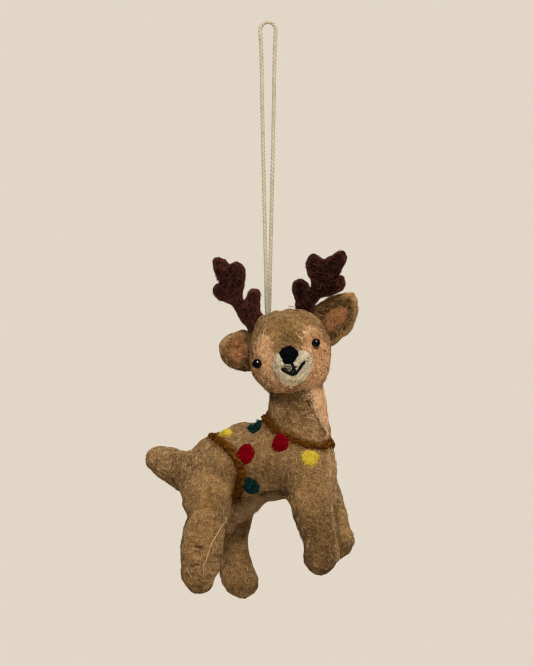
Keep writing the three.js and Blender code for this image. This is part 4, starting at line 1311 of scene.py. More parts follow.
# ------------------------------------------------------------------ bead eyes
def bead(name, node, c, r):
    n = normals(head_raw, c.astype(F)[None])[0].astype(float)
    c = c + OUT * 0.85 + n * (0.5 if r > 2 else 0.0)
    ax = np.cross(n, UPV)
    ax /= np.linalg.norm(ax)
    b = np.cross(ax, n)
    hole = 0.42
    a0 = math.asin(hole / r)
    prof = [(r * math.sin(a), r * math.cos(a) * 0.96) for a in np.linspace(a0, math.pi - a0, 30)]
    zz = prof[0][1]
    prof += [(hole * 0.8, -zz * 0.9), (hole * 0.72, -zz * 0.4), (hole * 0.72, zz * 0.4), (hole * 0.8, zz * 0.9)]
    k, s = len(prof), 40
    th = np.linspace(0, 2 * np.pi, s, endpoint=False)
    V = np.array([c + ax * z + (n * math.cos(t) + b * math.sin(t)) * q for q, z in prof for t in th])
    i = np.arange(k)[:, None]
    j = np.arange(s)[None, :]
    Q = np.stack([i * s + j, i * s + (j + 1) % s, ((i + 1) % k) * s + (j + 1) % s, ((i + 1) % k) * s + j], -1).reshape(-1, 4)
    return done(piece(name, V, Q[:, ::-1], M_BEAD), [node], "bead_black"), c


_o, BEAD_R = bead("eye_bead_right_gloss", "eye_bead_right", EYE_R, 2.1)
_o, BEAD_L = bead("eye_bead_left_gloss", "eye_bead_left", EYE_L, 1.85)
line = BEAD_R + (BEAD_L - BEAD_R) * np.linspace(0.06, 0.94, 60)[:, None]
done(piece("eye_thread_twist", *twisted(line - OUT * (2.5 * np.sin(np.linspace(0, np.pi, 60)))[:, None], 0.38, 2, 1.6, sides=10), M_THREAD), ["eye_thread"], "thread_black")


# ------------------------------------------------------------------ ears and antlers: cut outlines in the face plane
ANT_D, EAR_D = 3.7, -1.7


def cut(pts, d, sigma=1.3):
    """A cut outline given in image units, in face-plane millimetres at depth d."""
    q = outline(pts, sigma)
    return np.stack(uv(q[:, 0], q[:, 1], d), 1)


ANTLER_RIGHT = cut([(264, 326), (259, 334), (252, 335), (248.3, 331.5), (246, 327.5), (240.3, 320.5), (231.5, 304.5), (219.5, 300.7), (215.5, 297.8), (212.8, 293.5), (212.3, 288.5), (216.7, 282.5),
                    (217, 280.5), (216.7, 277.5), (213.3, 269.5), (212.4, 264.5), (213, 258.3), (214.5, 257), (219.5, 257.2), (226.3, 259.6), (230.2, 264.6), (236, 261), (243, 264.5),
                    (244.9, 268.5), (245.9, 277.5), (243.1, 292.5), (243, 299), (244.5, 299.6), (247.3, 292.5), (250.5, 289.3), (254.5, 288.1), (258.7, 289.5), (260.9, 294.5), (260.6, 311), (264, 316)], ANT_D, 0.8)
ANTLER_LEFT = cut([(297, 311), (294.9, 305.5), (296.2, 301.5), (292.1, 291.5), (292.1, 284.5), (293.3, 281.5), (296.5, 279.2), (300.5, 278.1), (304.5, 279.3), (308.3, 283), (309.8, 286),
                   (311.3, 283), (310.6, 279.5), (308.3, 276.5), (305, 266.5), (306.3, 260.5), (309.2, 255.5), (312.5, 253.3), (314.5, 253.1), (324.4, 260.2), (336, 251.4), (340.5, 250.1),
                   (342.5, 250.3), (345.5, 252.3), (346.9, 256.5), (345.7, 263.5), (341.8, 270.5), (340.9, 273.8), (344.3, 277.2), (345.9, 284.5), (343.7, 289.5), (340.5, 292), (331.3, 295.9),
                   (320, 299.3), (315.4, 304.5), (313, 311.5), (314, 320), (302, 320)], ANT_D, 0.8)
EAR_RIGHT = cut([(256, 337), (249, 331.5), (244.5, 329.9), (238.5, 330.3), (230.5, 333.3), (225, 336.5), (221.5, 340.2), (219.3, 344.7), (219.3, 353.5), (223.3, 361.5), (228.5, 366.7),
                 (235.5, 369.9), (243, 371.4), (250, 371.6), (257, 369)], EAR_D, 2.0)
EAR_LEFT = cut([(310, 312), (313.5, 307.6), (320, 301.6), (331.5, 296.2), (340, 293.2), (346.5, 292.2), (352, 291.8), (355.2, 293.2), (357.1, 298.2), (358.2, 303.5), (358.2, 311.5), (356, 320.5),
                (351.8, 329.8), (343.8, 338), (332.6, 345.5), (322, 349)], EAR_D, 1.5)
LINING_RIGHT = cut([(246.5, 340), (240, 338.5), (233, 340.5), (228.5, 346), (228, 352.5), (231.5, 359), (238, 362), (245, 360), (249, 352)], EAR_D, 2.0)
LINING_LEFT = cut([(324.6, 316), (330, 309.4), (337, 305.6), (344.5, 305.6), (347.6, 309.5), (346, 318.5), (341, 325.8), (334, 331.6), (327.5, 331.8), (323.6, 325)], EAR_D, 2.0)



def face_coords(P):
    return P @ RIGHT.astype(F), P[..., 2], P @ OUT.astype(F)


def plate(sd, w, half, R):
    qx, qy = sd + R, np.abs(w) - (half - R)
    return np.minimum(np.maximum(qx, qy), 0) + np.hypot(np.maximum(qx, 0), np.maximum(qy, 0)) - R


def flat_sd(poly, u, v):
    """Outline distance on a grid whose places repeat through its depth, or on loose points."""
    if u.ndim == 3:
        return poly_sd(poly, u[:, :, 0], v[:, :, 0])[:, :, None]
    return poly_sd(poly, u, v)


def lobes(lines, u, v):
    """Closeness to the creases between an antler's lobes."""
    best = 0.0
    for q in lines:
        pts = [uv(x, y, ANT_D) for x, y in q]
        best = np.maximum(best, bell(line_dist(u, v, pts), 0.75))
    return best


LOBES_RIGHT = [[(230.1, 267.4), (229.5, 271), (227.5, 276)], [(218.6, 282.6), (221, 283.5), (226, 284)], [(243, 302.2), (242, 306), (244, 312)]]
LOBES_LEFT = [[(324.2, 263.2), (323.6, 266.5), (326, 272)], [(311.4, 287.6), (313, 291), (312, 298)], [(339.6, 274.8), (336, 276.2), (330, 281)], [(311.6, 277.8), (314, 277.4), (318.5, 275)]]


def antler_field(poly, lines):
    def f(Q):
        u, v, d = Q[..., 0], Q[..., 1], Q[..., 2]
        P = Q + F(60)
        sd = flat_sd(poly, u, v) + 0.06 * edge_a(P) + 0.15
        w = d - (ANT_D + 0.5 * np.sin((v + 118) * 0.16) + 0.35 * lump_a(P))
        half = 1.7 + 1.25 * smooth01(-sd, 0.0, 5.0)
        crease = lobes(lines, u[:, :, :1], v[:, :, :1]) if u.ndim == 3 else lobes(lines, u, v)
        f = plate(sd, w, half, np.minimum(half, 2.0)) - 0.12 * lump_b(P) - 0.06 * lump_c(P) + 0.8 * crease
        return np.maximum(f, -(head_raw(world(u, v, d).astype(F)) + 0.7)).astype(F)
    return f


def ear_mid(sd):
    return EAR_D - 2.2 * smooth01(-sd, 2.6, 7.6)


def ear_field(poly):
    def f(Q):
        u, v, d = Q[..., 0], Q[..., 1], Q[..., 2]
        P = Q + F(25)
        sd = flat_sd(poly, u, v) + 0.06 * edge_a(P) + 0.15
        f = plate(sd, d - ear_mid(sd), 1.6, 1.55) - 0.1 * lump_b(P) - 0.06 * lump_c(P)
        return np.maximum(f, -(head_raw(world(u, v, d).astype(F)) + 0.7)).astype(F)
    return f


def lining_field(ear_poly, poly):
    def f(Q):
        u, v, d = Q[..., 0], Q[..., 1], Q[..., 2]
        P = Q + F(25)
        w = d - ear_mid(flat_sd(ear_poly, u, v))
        sd = flat_sd(poly, u, v) + 0.2 * edge_a(P) + 0.12 * edge_b(P)
        off = 2.0 * smooth01(-sd, -1.6, 2.2) - 1.05 + 0.1 * lump_b(P * 1.5) + 0.1 * lump_c(P)
        f = np.maximum(w - (1.6 + off), (1.6 - 0.9) - w)
        return np.maximum(f, -(head_raw(world(u, v, d).astype(F)) + 0.4)).astype(F)
    return f


def to_world(V):
    return world(V[:, 0], V[:, 1], V[:, 2])


def in_face(fld):
    """A face-plane field read at row-frame points."""
    return lambda P: fld(np.stack(face_coords(P), -1))


def box2(poly, d0, d1, pad=2.5):
    a, b = poly.min(0) - pad, poly.max(0) + pad
    return (a[0], a[1], d0), (b[0], b[1], d1)


soft, ear_painted_shading = {}, {}
for nm, poly, lines in (("right", ANTLER_RIGHT, LOBES_RIGHT), ("left", ANTLER_LEFT, LOBES_LEFT)):
    fld = antler_field(poly, lines)
    lo, hi = box2(poly, -1.5, 9.5)
    V, Q = solid_of(fld, lo, hi, 0.42, 2, to_world)
    # painted light at the antlers' cut edges, painted shade in their middles and in the creases between lobes
    tone = rim_painted_shading(poly, 0.75, 2.8, 2.0) if nm == "right" else rim_painted_shading(poly, 0.36, 2.5, 2.0)
    tn = tone(V.astype(F)) * (1 - 0.6 * lobes(lines, V @ RIGHT, V[:, 2]))
    done(piece("antler_%s_felt" % nm, V, Q, M_ANTLER, tone=tn), ["antler_" + nm], "felt_antler")
    soft["antler_" + nm] = in_face(fld)
    seeds["antler_" + nm] = centres(V, Q)
for nm, poly, lin in (("right", EAR_RIGHT, LINING_RIGHT), ("left", EAR_LEFT, LINING_LEFT)):
    fld, lf_ = ear_field(poly), lining_field(poly, lin)
    lo, hi = box2(poly, -7.5, 3.0)
    V, Q = solid_of(fld, lo, hi, 0.45, 2, to_world)
    # painted light along the ears' cut edges and upper edges, painted shade in their middles and, on the right ear,
    # toward its lower part
    ear_painted_shading[nm] = rim_painted_shading(poly, 0.64, 1.62, 4.5, (346, 364, 0.74), (334, 350, 1.1, 4.5)) if nm == "right" else rim_painted_shading(poly, 0.2, 1.6, 2.9, None, (300, 312, 1.2, 5.0))
    done(piece("ear_%s_felt" % nm, V, Q, M_EAR, tone=ear_painted_shading[nm](V.astype(F))), ["ear_" + nm], "felt_brown")
    soft["ear_" + nm] = in_face(fld)
    seeds["ear_" + nm] = centres(V, Q)
    lo, hi = box2(lin, -6.5, 3.0)
    V, Q = solid_of(lf_, lo, hi, 0.36, 1, to_world)
    done(piece("ear_lining_%s_wool" % nm, V, Q, M_RUST), ["ear_lining_" + nm], "felt_rust")
    soft["lining_" + nm] = in_face(lf_)
    soft["both_" + nm] = in_face(lambda Q, a=fld, b=lf_: np.minimum(a(Q), b(Q)))
    rim_pts = np.repeat(resample(np.vstack([lin, lin[:1]]), 0.3), 3, axis=0)
    rim_pts = rim_pts + np.random.default_rng(9).normal(scale=0.9, size=rim_pts.shape)
    seeds["both_" + nm] = world(rim_pts[:, 0], rim_pts[:, 1], np.full(len(rim_pts), -1.2)).astype(F)
    c = centres(V, Q)
    seeds["lining_" + nm] = c[c @ OUT.astype(F) > np.percentile(c @ OUT.astype(F), 40)]

# ------------------------------------------------------------------ garland


def strand_route(near):
    """A route over the body: the near side by image places, the far side its mirror image."""
    near = [front_px(body_plain, x, y)[0] for x, y in near]
    far = [p * (1, -1, 1) for p in near]
    return near, far


near, far = strand_route(NECK_NEAR)
front, back = on_mid(325.8, 442.4, 0.0), on_mid(267.0, 417.4, 0.0)
YARN_NECK = [front] + near + [back] + far[::-1] + [front + (-0.1, 0.6, 0.1)]
near, far = strand_route(WAIST_NEAR)
YARN_WAIST = near[::-1] + [on_mid(213.8, 437.6, 0.0)] + far
yarn_fields = {}
for nm, ctrl, r, pitch in (("neck", YARN_NECK, 1.3, -4.8), ("waist", YARN_WAIST, 1.56, -5.0)):
    path = onto(body_field, spline(np.array(ctrl), 10).astype(F), -0.35, 6).astype(float)
    if nm == "neck":        # pulled into the wool at the chest
        tight = smooth01(path[:, 0], 19, 25)
        deep = 0.1 + 0.45 * smooth01(path[:, 1], 0.3, 2.2) * (1 - smooth01(path[:, 1], 5.0, 8.0))
        path = path - normals(body_plain, path.astype(F)) * (deep * tight)[:, None]
    if nm == "waist":       # felted down toward its ends
        low = smooth01(-path[:, 2], 188, 200)
        path = path - normals(body_plain, path.astype(F)) * (0.2 * low)[:, None]
    path = resample(path, 0.3)
    for _ in range(4):
        path[1:-1] = 0.5 * path[1:-1] + 0.25 * (path[:-2] + path[2:])
    if nm == "waist":
        fat = lambda t: blunt(0.012, 0.012)(t) * (1 + 0.3 * (1 - smooth01(np.minimum(t, 1 - t), 0.05, 0.3)))
    else:
        fat = lambda t: blunt(0.012, 0.012)(t) * (1 + 0.16 * (1 - smooth01(np.minimum(t, 1 - t), 0.05, 0.2)) + 0.15 * bell(t - 0.5, 0.07))
    V, Fc, yt = plied(path, r, pitch, fat, seed=3 if nm == "neck" else 5)
    V = V + (0.16 * lump_c(V.astype(F) * 1.3) + 0.08 * edge_b(V.astype(F)))[:, None] * normals(body_plain, V.astype(F))
    yt = yt * (0.92 + 0.4 * lump_c(V.astype(F) * 0.8 + 5))
    done(piece("garland_yarn_%s_twist" % nm, V, Fc, M_YARN, tone=yt + 0.12 * lump_b(V.astype(F))), ["garland_yarn_" + nm], "yarn_brown")
    rng = np.random.default_rng(5)
    e_ = np.repeat(resample(path, 0.4), 4, axis=0)
    side_ = np.cross(np.gradient(e_, axis=0) + np.roll(np.gradient(e_, axis=0), 2, axis=0), normals(body_plain, e_.astype(F)))
    side_ /= np.maximum(np.linalg.norm(side_, axis=1, keepdims=True), 1e-6)
    seeds["yarn_edge_" + nm] = (e_ + side_ * (rng.choice((-1, 1), len(e_)) * rng.uniform(0.8, 2.2, len(e_)))[:, None]).astype(F)
    low_ = np.repeat(path[-path[:, 2] > 194], 3, axis=0)
    seeds["yarn_low_" + nm] = (low_ + rng.normal(scale=1.1, size=low_.shape)).astype(F)
    ch = [(*p, r * 0.9) for p in resample(path, 2.0)]
    yarn_fields[nm] = (lambda c: (lambda P: chain_field(P, c)))(ch)
    q_ = resample(path, 0.4)
    seeds["yarn_" + nm] = (q_ + normals(body_plain, q_.astype(F)) * 0.9).astype(F)
    yarn_fields["on_" + nm] = (lambda a: (lambda P: np.minimum(body_read(P), a(P))))(yarn_fields[nm])

# name, image place or row-frame place, half width, half height (mm), material
BULBS = [
    ("bulb_red_flank_right", (245.9, 453.6), 4.0, 4.55, "red"),
    ("bulb_red_shoulder_right", (281, 442.6), 4.15, 4.5, "red"),
    ("bulb_yellow_chest_right", (310.1, 457.5), 3.95, 4.2, "yellow"),
    ("bulb_green_flank_right", (250.9, 486.2), 4.1, 4.7, "green"),
    ("bulb_green_back", (256.4, 426.8), 4.5, 3.9, "green"),
    ("bulb_yellow_back", (-15.1, -10.5, -176.0), 3.6, 2.8, "yellow"),
    ("bulb_yellow_flank_left", (-2.3, 15.7, -184.0), 3.7, 3.7, "yellow"),
    ("bulb_green_shoulder_left", (14.4, 15.4, -179.1), 3.7, 3.7, "green"),
    ("bulb_red_chest_left", (21.4, 15.0, -186.0), 3.5, 3.6, "red"),
    ("bulb_red_flank_left", (-0.9, 13.7, -197.7), 3.8, 3.7, "red"),
]
WOOL = {"red": (M_RED, [H_RED, H_REDL], "felt_red"), "yellow": (M_YELLOW, [H_YEL, H_YELL], "felt_yellow"), "green": (M_GREEN, [H_GRN, H_GRNL], "felt_green")}
bulb_fields = {}
for k, (nm, where, a, b, col) in enumerate(BULBS):
    c = front_px(body_field, *where)[0] if len(where) == 2 else np.array(where)
    c = onto(body_field, c.astype(F)[None], 0.0, 8)[0].astype(float)
    n = normals(body_plain, c.astype(F)[None])[0].astype(float)
    t1 = np.cross(UPV, n) if abs(n[2]) < 0.9 else np.cross(n, [0, 1.0, 0])
    t1 /= np.linalg.norm(t1)
    t2 = np.cross(n, t1)
    ph = np.random.default_rng(70 + k).uniform(0, 6.28, 3)

    def bulb(P, c=c.astype(F), n=n.astype(F), t1=t1.astype(F), t2=t2.astype(F), a=a, b=b, ph=ph, col=col, high={"bulb_red_shoulder_right": 2.0, "bulb_yellow_back": 1.1}.get(nm, 1.6)):
        def fn(P, h):
            q = P - c
            x, y = (q @ t1) / a, (q @ t2) / b
            ang = np.arctan2(y, x)
            rr = np.hypot(x, y) / (1 + 0.02 * np.sin(2 * ang + ph[0]) + 0.02 * np.sin(3 * ang + ph[1]) + 0.012 * np.sin(7 * ang + ph[2]) + 0.012 * np.sin(12 * ang + ph[1]))
            off = high * np.clip(1 - rr ** 4, -1, 1) - 0.4 + 0.16 * lump_c(P * 1.1) + 0.1 * edge_b(P) - (0.35 * bell(rr, 0.16) + 0.4 * bell(rr - 0.46, 0.11) * (0.6 + 0.4 * np.sin(3 * ang + ph[2]))) * (col == "yellow")
            return np.maximum(h - off, -(h + 0.9)) + 4.0 * (np.abs(q @ n) > 4.5)
        return patch(P, body_read(P), -2.0, 3.5, fn)

    lo, hi = c - 6.5, c + 6.5
    V, Q = solid_of(bulb, lo, hi, 0.3, 2)
    mat, tints, slot_name = WOOL[col]
    done(piece(nm + "_wool", V, Q, mat), [nm], slot_name)
    s = centres(V, Q)
    bulb_fields[nm] = (bulb, s[body_read(s) > 0.1], tints)

# ------------------------------------------------------------------ inside: stuffing, cord knot
KNOT = np.array([1.5, -0.3, -132.6])


def stuffed(fld, depth, seed):
    lump = waves(seed, 5.0)
    return lambda P: fld(P) + depth + 0.35 * lump(P)


V, Q = solid_of(lambda P: np.maximum(stuffed(trunk_cut, 2.9, 41)(P), -(head_raw(P) + 2.2)), (-63, -22, -212), (36, 22, -150), 1.1, 2)
done(piece("body_stuffing_wool", V, Q, M_WOOL), ["body_stuffing"], "wool_fill")
for i, (n, ch) in enumerate(LEGS.items()):
    lo = np.min([np.array(c[:3]) - c[3] for c in ch], 0) - 1
    hi = np.max([np.array(c[:3]) + c[3] for c in ch], 0) + 1
    V, Q = solid_of(lambda P: np.maximum(stuffed(lambda R: chain_field(R, ch), 2.7, 50 + i)(P), -(trunk_raw(P) + 1.8)), lo, hi, 0.9, 2)
    done(piece("leg_stuffing_%s_wool" % n, V, Q, M_WOOL), ["leg_stuffing_" + n], "wool_fill")


def head_fill(P):
    f = stuffed(head_raw, 3.0, 60)(P)
    f = np.maximum(f, 3.3 - np.linalg.norm(P - KNOT.astype(F), axis=-1))
    return np.maximum(f, 1.9 - np.hypot(P[..., 0], P[..., 1]) - 9 * (P[..., 2] < -132))


V, Q = solid_of(head_fill, (-10, -20, -160), (32, 20, -119), 0.9, 2)
done(piece("head_stuffing_wool", V, Q, M_WOOL), ["head_stuffing"], "wool_fill")
t = np.linspace(0, 2 * np.pi, 220)
tre = KNOT + 0.55 * np.stack([np.sin(t) + 2 * np.sin(2 * t), np.cos(t) - 2 * np.cos(2 * t), -1.5 * np.sin(3 * t)], 1)
stub = resample(np.array([(0.2, 0.0, -127.9), (0.6, -0.1, -129.2), (1.2, -0.2, -130.9)]), 0.2)
V, Fc = merge([twisted(tre, 0.62, 3, 3.0, sides=12), twisted(stub, 0.95, 3, 3.6, sides=12)])
knot = piece("hang_cord_knot_tied", V, Fc, M_COTTON, tone=cord_tone(V))
done(knot, ["hang_cord_knot"], "cotton_cord")
[tuple(float(x) for x in p * MM) for p in resample(smooth_loop, 1.4)]

# ------------------------------------------------------------------ wool fibres over everything
BROWNS = [H_PALE, H_TAN, H_MID, H_DARK]


def by_tone(tone, pale, tan, mid):
    """Fibre tints in the given shares, moved toward the dark ones where the given tone, painted shade included, is
    darker.
    """
    def pick(P, rng):
        t = np.clip((1.1 - tone(P)) * 1.5, -0.7, 1)
        r = rng.random(len(P))
        a = pale * (1 - 0.85 * t)
        b = a + tan * (1 - 0.72 * t)
        c = b + mid
        return np.where(r < a, 0, np.where(r < b, 1, np.where(r < c, 2, 3)))
    return pick


# the body's fibres darken with its painted shading
brown_pick = by_tone(body_painted_shading, 0.24, 0.36, 0.2)


def cover(name, fld, key, n, mats, seed, slot_name, **kw):
    return done(hairs(name, fld, seeds[key], n, mats, seed, **kw), (), slot_name)


FINE = dict(length=(1.6, 4.8), radius=(0.028, 0.06), curl=2.6)
for k in ("a", "b"):
    cover("fibres_body_right_" + k, body_read, "body_cover_right_felt", 7800, BROWNS, 101 if k == "a" else 105, "felt_brown", pick=brown_pick, **FINE)
cover("fibres_body_left", body_read, "body_cover_left_felt", 8000, BROWNS, 102, "felt_brown", pick=brown_pick)
cover("fibres_belly", body_read, "belly_gusset_felt", 900, [H_TAN, H_MID, H_DARK], 103, "felt_brown", weights=[0.4, 0.4, 0.2], fly=0.02, flow=(3, 0, 1.5))
cover("fibres_bib", body_read, "chest_bib_felt", 1000, [H_PEACH, H_PEACHD, H_PALE], 104, "felt_peach", weights=[0.5, 0.3, 0.2])
for i, n in enumerate(LEGS):
    cover("fibres_leg_" + n, body_read, "leg_%s_felt" % n, 5600 if n.endswith("right") else 3600, BROWNS, 110 + i, "felt_brown", pick=brown_pick, **FINE)

fh = seeds["head"]
px_, py_, d_ = px_of(fh)
on_mask = (poly_sd(MASK, px_, py_) < -3) & (d_ > 0)
seeds["head_brown"] = fh[~on_mask]
cover("fibres_head", head_read, "head_brown", 7800, [H_PALE, H_GOLD, H_MID, H_DARK], 120, "felt_brown", pick=by_tone(head_tone_and_painted_shade, 0.2, 0.42, 0.2), length=(1.9, 5.4), curl=2.4, radius=(0.03, 0.062))
cover("fibres_mask", mask_read, "mask", 3800, [H_PEACH, H_PEACHD, H_TAN, H_BLUSH], 121, "felt_peach", pick=by_tone(head_tone_and_painted_shade, 0.46, 0.28, 0.12), length=(2.5, 6.0), radius=(0.035, 0.075))
cover("fibres_muzzle", muzzle_field, "muzzle", 1500, [H_CREAM, H_GREY, H_CREAM], 122, "felt_cream", length=(2.0, 5.0), radius=(0.035, 0.07), lift=(0.02, 0.2), fly=0.03, fly_lift=0.7)
cover("fibres_nose", nose_field, "nose", 420, [H_BLACK, H_INK], 123, "felt_black", length=(1.5, 3.5), radius=(0.03, 0.06), fly=0.04, fly_lift=0.5)
for nm in ("right", "left"):
    cover("fibres_antler_" + nm, soft["antler_" + nm], "antler_" + nm, 2800, [H_ANT, H_ANTL, H_BLACK], 130, "felt_antler", weights=[0.42, 0.36, 0.22] if nm == "right" else [0.45, 0.25, 0.3], length=(1.8, 5.0), radius=(0.03, 0.06), fly=0.2, fly_lift=1.0, curl=2.8)
    cover("fibres_ear_" + nm, soft["ear_" + nm], "ear_" + nm, 2600, [H_PALE, H_TAN, H_MID, H_DARK], 132, "felt_brown", pick=by_tone(ear_painted_shading[nm], 0.22, 0.4, 0.24), length=(1.8, 5.0), radius=(0.03, 0.06), curl=2.6)
    cover("fibres_lining_" + nm, soft["lining_" + nm], "lining_" + nm, 800, [H_RUST, H_RUSTD, H_PEACHD, H_TAN], 134, "felt_rust", length=(2.0, 5.0), radius=(0.035, 0.07), fly=0.1, fly_lift=0.9)
    cover("fibres_lining_edge_" + nm, soft["both_" + nm], "both_" + nm, 620, [H_TAN, H_MID, H_RUST, H_RUSTD, H_DARK], 136, "felt_rust", length=(1.5, 4.0), radius=(0.035, 0.065), fly=0.06, curl=2.6)
for k, (nm, (fld, s, tints)) in enumerate(bulb_fields.items()):
    done(hairs("fibres_" + nm, fld, s, 520, tints, 140 + k, weights=[0.62, 0.38], length=(0.9, 2.8), radius=(0.03, 0.06), lift=(0.03, 0.35), fly=0.3, fly_lift=0.8, curl=2.8), (), WOOL[BULBS[k][4]][2])
    rim_ = s[body_read(s) < 0.5]
    both_ = (lambda a: (lambda P: np.minimum(body_read(P), a(P))))(fld)
    done(hairs("fibres_edge_" + nm, both_, rim_, 190, tints + [H_MID], 200 + k, weights=[0.5, 0.28, 0.22], length=(0.7, 1.8), radius=(0.03, 0.06), lift=(0.03, 0.22), fly=0.15, fly_lift=0.5, curl=2.8), (), WOOL[BULBS[k][4]][2])
for nm in ("neck", "waist"):
    cover("fibres_yarn_" + nm, yarn_fields["on_" + nm], "yarn_" + nm, 1900, [H_YARN, H_YARNL, H_DEEP], 160, "yarn_brown", weights=[0.38, 0.27, 0.35], length=(1.2, 3.2), radius=(0.035, 0.075), lift=(0.08, 0.5), fly=0.12, fly_lift=0.8)
    cover("fibres_yarn_edge_" + nm, yarn_fields["on_" + nm], "yarn_edge_" + nm, 2400, [H_YARN, H_YARNL, H_DARK, H_DEEP], 162, "yarn_brown", weights=[0.5, 0.14, 0.18, 0.18], length=(1.0, 2.8), radius=(0.03, 0.065), lift=(0.05, 0.35), fly=0.06, fly_lift=0.8)
back_ = seeds["yarn_neck"][(px_of(seeds["yarn_neck"])[0] < 276)]
seeds["yarn_nape"] = (np.repeat(back_, 6, axis=0) + np.random.default_rng(6).normal(scale=1.2, size=(6 * len(back_), 3))).astype(F)
cover("fibres_yarn_nape", yarn_fields["on_neck"], "yarn_nape", 420, [H_YARN, H_YARNL, H_DARK, H_DEEP], 166, "yarn_brown", weights=[0.4, 0.25, 0.2, 0.15], length=(1.4, 3.4), radius=(0.035, 0.07), lift=(0.1, 0.6), fly=0.1, fly_lift=0.9)
cover("fibres_yarn_low_waist", body_read, "yarn_low_waist", 480, [H_YARN, H_YARNL, H_DEEP], 164, "yarn_brown", weights=[0.45, 0.25, 0.3], length=(1.2, 3.2), radius=(0.035, 0.07), lift=(0.3, 1.3), fly=0.1, fly_lift=1.4)

# loose threads and seam fibres
seam_pts = np.array([front_px(body_plain, x, y)[0] for x, y in list(zip(RIDGE_PX, RIDGE_PY))[:-1]])
done(along("fibres_front_leg_seam", body_field, spline(seam_pts, 8), 130, [H_PALE, H_TAN, H_TAN], 170, jitter=0.16, radius=(0.04, 0.08), lift=(0.02, 0.15)), (), "felt_brown")
crease_pts = np.array([front_px(body_plain, x, y - 1.5)[0] for x, y in CREASE[1:-1]])
done(along("fibres_hind_leg_crease", body_field, spline(crease_pts, 8), 26, [H_TAN, H_MID], 171, jitter=0.5), (), "felt_brown")
bib_line = list(zip(BIB_PX[1:-1], BIB_PY[1:-1]))
bib_pts = np.array([front_px(body_plain, x - 0.3, y)[0] for x, y in bib_line])
done(along("fibres_bib_seam", body_field, spline(bib_pts, 8), 210, [H_DEEP, H_DARK, H_DEEP], 172, length=(1.0, 2.6), radius=(0.04, 0.075), jitter=0.2, lift=(0.05, 0.25)), (), "felt_brown")
belly_pts = np.array([front_px(body_plain, x, y + 0.5)[0] for x, y in ((258.5, 493), (262, 492.2), (266, 491.9), (272, 491.7), (278, 491.9), (284, 492.4), (288, 493))])
done(along("fibres_belly_seam", body_field, spline(belly_pts, 8), 80, [H_DEEP, H_DARK], 173, length=(1.5, 4.0), jitter=0.3, lift=(0.0, 0.16)), (), "felt_brown")
stitches = []
for (x, y), tilt in zip(((312.4, 408.6), (315.4, 415.4), (317.4, 418.8), (320.2, 425.2), (323.8, 430.6)), (0.3, 0.6, -0.2, 0.5, -0.3)):
    ends = [(x - 1.0 - 0.3 * tilt, y - 1.6 + tilt), (x - 0.1, y), (x + 0.9, y + 1.7 - tilt)]
    stitches.append(strand(ends, body_field, 0.19, 0.12, step=0.2))
done(piece("bib_stitches_dark", *merge(stitches), M_SEAM), (), "thread_black")
brow = merge([strand(q, head_field, 0.07, 0.5, step=0.3) for q in (
    [(263.6, 336), (264.6, 331), (266.4, 326.6)], [(258.6, 343), (259.2, 338), (262, 333.4)], [(266.4, 328.6), (265.4, 326), (266.6, 323.4)],
    [(261.5, 349), (264, 343.5), (264.6, 338)], [(268, 351), (265.8, 347), (264.8, 341)])])
done(piece("loose_fibres_brow", *brow, H_STRAW), (), "felt_peach")
dashes = merge([strand(q, head_field, 0.1, 0.25, step=0.3) for q in (
    [(313.5, 369.4), (318, 366.4), (323, 363.6)], [(315, 372), (319.4, 369.6), (323.4, 367)], [(312.4, 378.4), (317, 376.6), (321, 374)], [(316.5, 361), (320.6, 359.4), (325, 359)],
    [(311, 382.6), (315.6, 381.4), (320, 379)], [(317.4, 352), (319.4, 355.6), (320.4, 359)])])
done(piece("loose_fibres_cheek", *dashes, H_BLUSH), (), "felt_peach")
lump_seeds = np.repeat(np.array([front_px(head_field, x, y)[0] for x, y in ((263.2, 316.4), (264.6, 316), (266, 316.2), (264, 317.6))]), 12, axis=0).astype(F)
done(hairs("fibres_crown_grey", head_read, lump_seeds, 120, [H_GREY, H_MID, H_SLATE, H_DARK], 180, length=(1.2, 2.6), radius=(0.05, 0.09), fly=0.05, curl=3.0), (), "felt_brown")
stray = spline(np.array([at(288.0, 304.8, 3.0), at(289.4, 307.0, 3.2), at(292.2, 306.4, 3.6), at(295.6, 308.6, 4.0), at(297.5, 311.0, 4.2)]), 8)
done(piece("loose_fibre_antler", *twisted(resample(stray, 0.25), 0.13, 2, 2.4, sides=6, taper=blunt(0.2, 0.1), valley=0.15), H_ANT), (), "felt_antler")
long_fibre = merge([strand([(226.5, 518), (221.5, 525.4), (216, 535), (210.5, 544.2), (207.9, 553.3), (204, 563.7), (202.7, 578)], body_field, 0.13, 0.4, base=0.3),
                    strand([(186.4, 567), (189, 572), (192.6, 578)], body_field, 0.08, 0.25, base=0.15),
                    strand([(187.7, 528), (189.4, 521.5), (193.6, 515), (198.4, 511)], body_field, 0.09, 0.25, base=0.15)])
done(piece("loose_fibre_hind_leg", *long_fibre, H_PALE), (), "felt_brown")

# ------------------------------------------------------------------ light and stage
w = bpy.data.worlds.new("studio")
bpy.context.scene.world = w
w.use_nodes = True
nt = w.node_tree
bg = nt.nodes["Background"]
bg.inputs["Color"].default_value = srgb("E2D7C7")
bg.inputs["Strength"].default_value = 1.0
amb = nt.nodes.new("ShaderNodeBackground")
amb.inputs["Color"].default_value = srgb("F3EADC")
way = nt.nodes.new("ShaderNodeVectorMath")
way.operation = "DOT_PRODUCT"
way.inputs[1].default_value = tuple(-OUT)
nt.links.new(nt.nodes.new("ShaderNodeTexCoord").outputs["Generated"], way.inputs[0])
behind = nt.nodes.new("ShaderNodeMapRange")      # a little more light from behind
behind.interpolation_type = "SMOOTHSTEP"
for sock, val in (("From Min", -0.2), ("From Max", 0.7), ("To Min", 0.25), ("To Max", 0.75)):
    behind.inputs[sock].default_value = val
nt.links.new(way.outputs["Value"], behind.inputs["Value"])
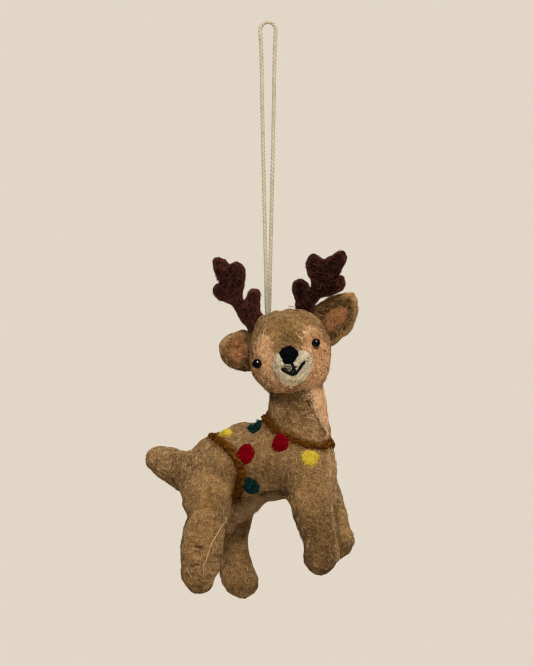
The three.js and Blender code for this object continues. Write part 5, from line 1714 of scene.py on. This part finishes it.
nt.links.new(behind.outputs["Result"], amb.inputs["Strength"])
lp = nt.nodes.new("ShaderNodeLightPath")
mx = nt.nodes.new("ShaderNodeMixShader")
dim = nt.nodes.new("ShaderNodeBackground")
dim.inputs["Color"].default_value = srgb("F3EADC")
dim.inputs["Strength"].default_value = 0.03
mg = nt.nodes.new("ShaderNodeMixShader")
nt.links.new(lp.outputs["Is Glossy Ray"], mg.inputs["Fac"])
nt.links.new(amb.outputs["Background"], mg.inputs[1])
nt.links.new(dim.outputs["Background"], mg.inputs[2])
nt.links.new(lp.outputs["Is Camera Ray"], mx.inputs["Fac"])
nt.links.new(mg.outputs["Shader"], mx.inputs[1])
nt.links.new(bg.outputs["Background"], mx.inputs[2])
nt.links.new(mx.outputs["Shader"], nt.nodes["World Output"].inputs["Surface"])


def area(name, loc, target, size, power, colour=(1, 1, 1)):
    l = bpy.data.lights.new(name, "AREA")
    l.shape = "DISK"
    l.size = size
    l.energy = power
    l.color = colour
    o = bpy.data.objects.new(name, l)
    bpy.context.scene.collection.objects.link(o)
    o.location = Vector(loc)
    o.rotation_euler = (Vector(target) - Vector(loc)).to_track_quat("-Z", "Y").to_euler()
    return o


mid = (0.0, 0.0, -0.18)


def studio(name, u, v, d, size, power, colour):
    """A soft light a good way off, so that object and floor are lit evenly."""
    o = area(name, tuple(np.array(mid) + world(u, v, d) * MM * 2.2), mid, size * 2.2, power * 4.84, colour)
    o.visible_camera = False
    return o


studio("key", 160.0, 560.0, 560.0, 0.35, 10.0, (1.0, 0.97, 0.93))
fill_light = studio("fill", -500.0, 180.0, 500.0, 0.6, 1.2, (1.0, 0.97, 0.94))
back_light = studio("back", 200.0, 480.0, -700.0, 0.6, 8.0, (1.0, 0.98, 0.95))

up_light = area("bounce", (0.0, 0.0, -0.415), (0.0, 0.0, 0.0), 1.0, 1.15, (1.0, 0.91, 0.78))
up_light.visible_camera = False
fill_light.visible_glossy = back_light.visible_glossy = up_light.visible_glossy = False
fl = bpy.data.meshes.new("floor")
bm = bmesh.new()
bmesh.ops.create_circle(bm, cap_ends=True, segments=128, radius=0.9)
bm.to_mesh(fl)
bm.free()
floor = bpy.data.objects.new("floor", fl)
bpy.context.scene.collection.objects.link(floor)
floor.location = (0, 0, -0.42)
floor.visible_glossy = False
mf, ntf, bsf = material("floor_pale")
bsf.inputs["Base Color"].default_value = srgb("ABA398")
bsf.inputs["Roughness"].default_value = 0.9
fl.materials.append(mf)
bpy.context.scene.view_settings.view_transform = "Standard"
bpy.context.scene.cycles.filter_width = 1.1
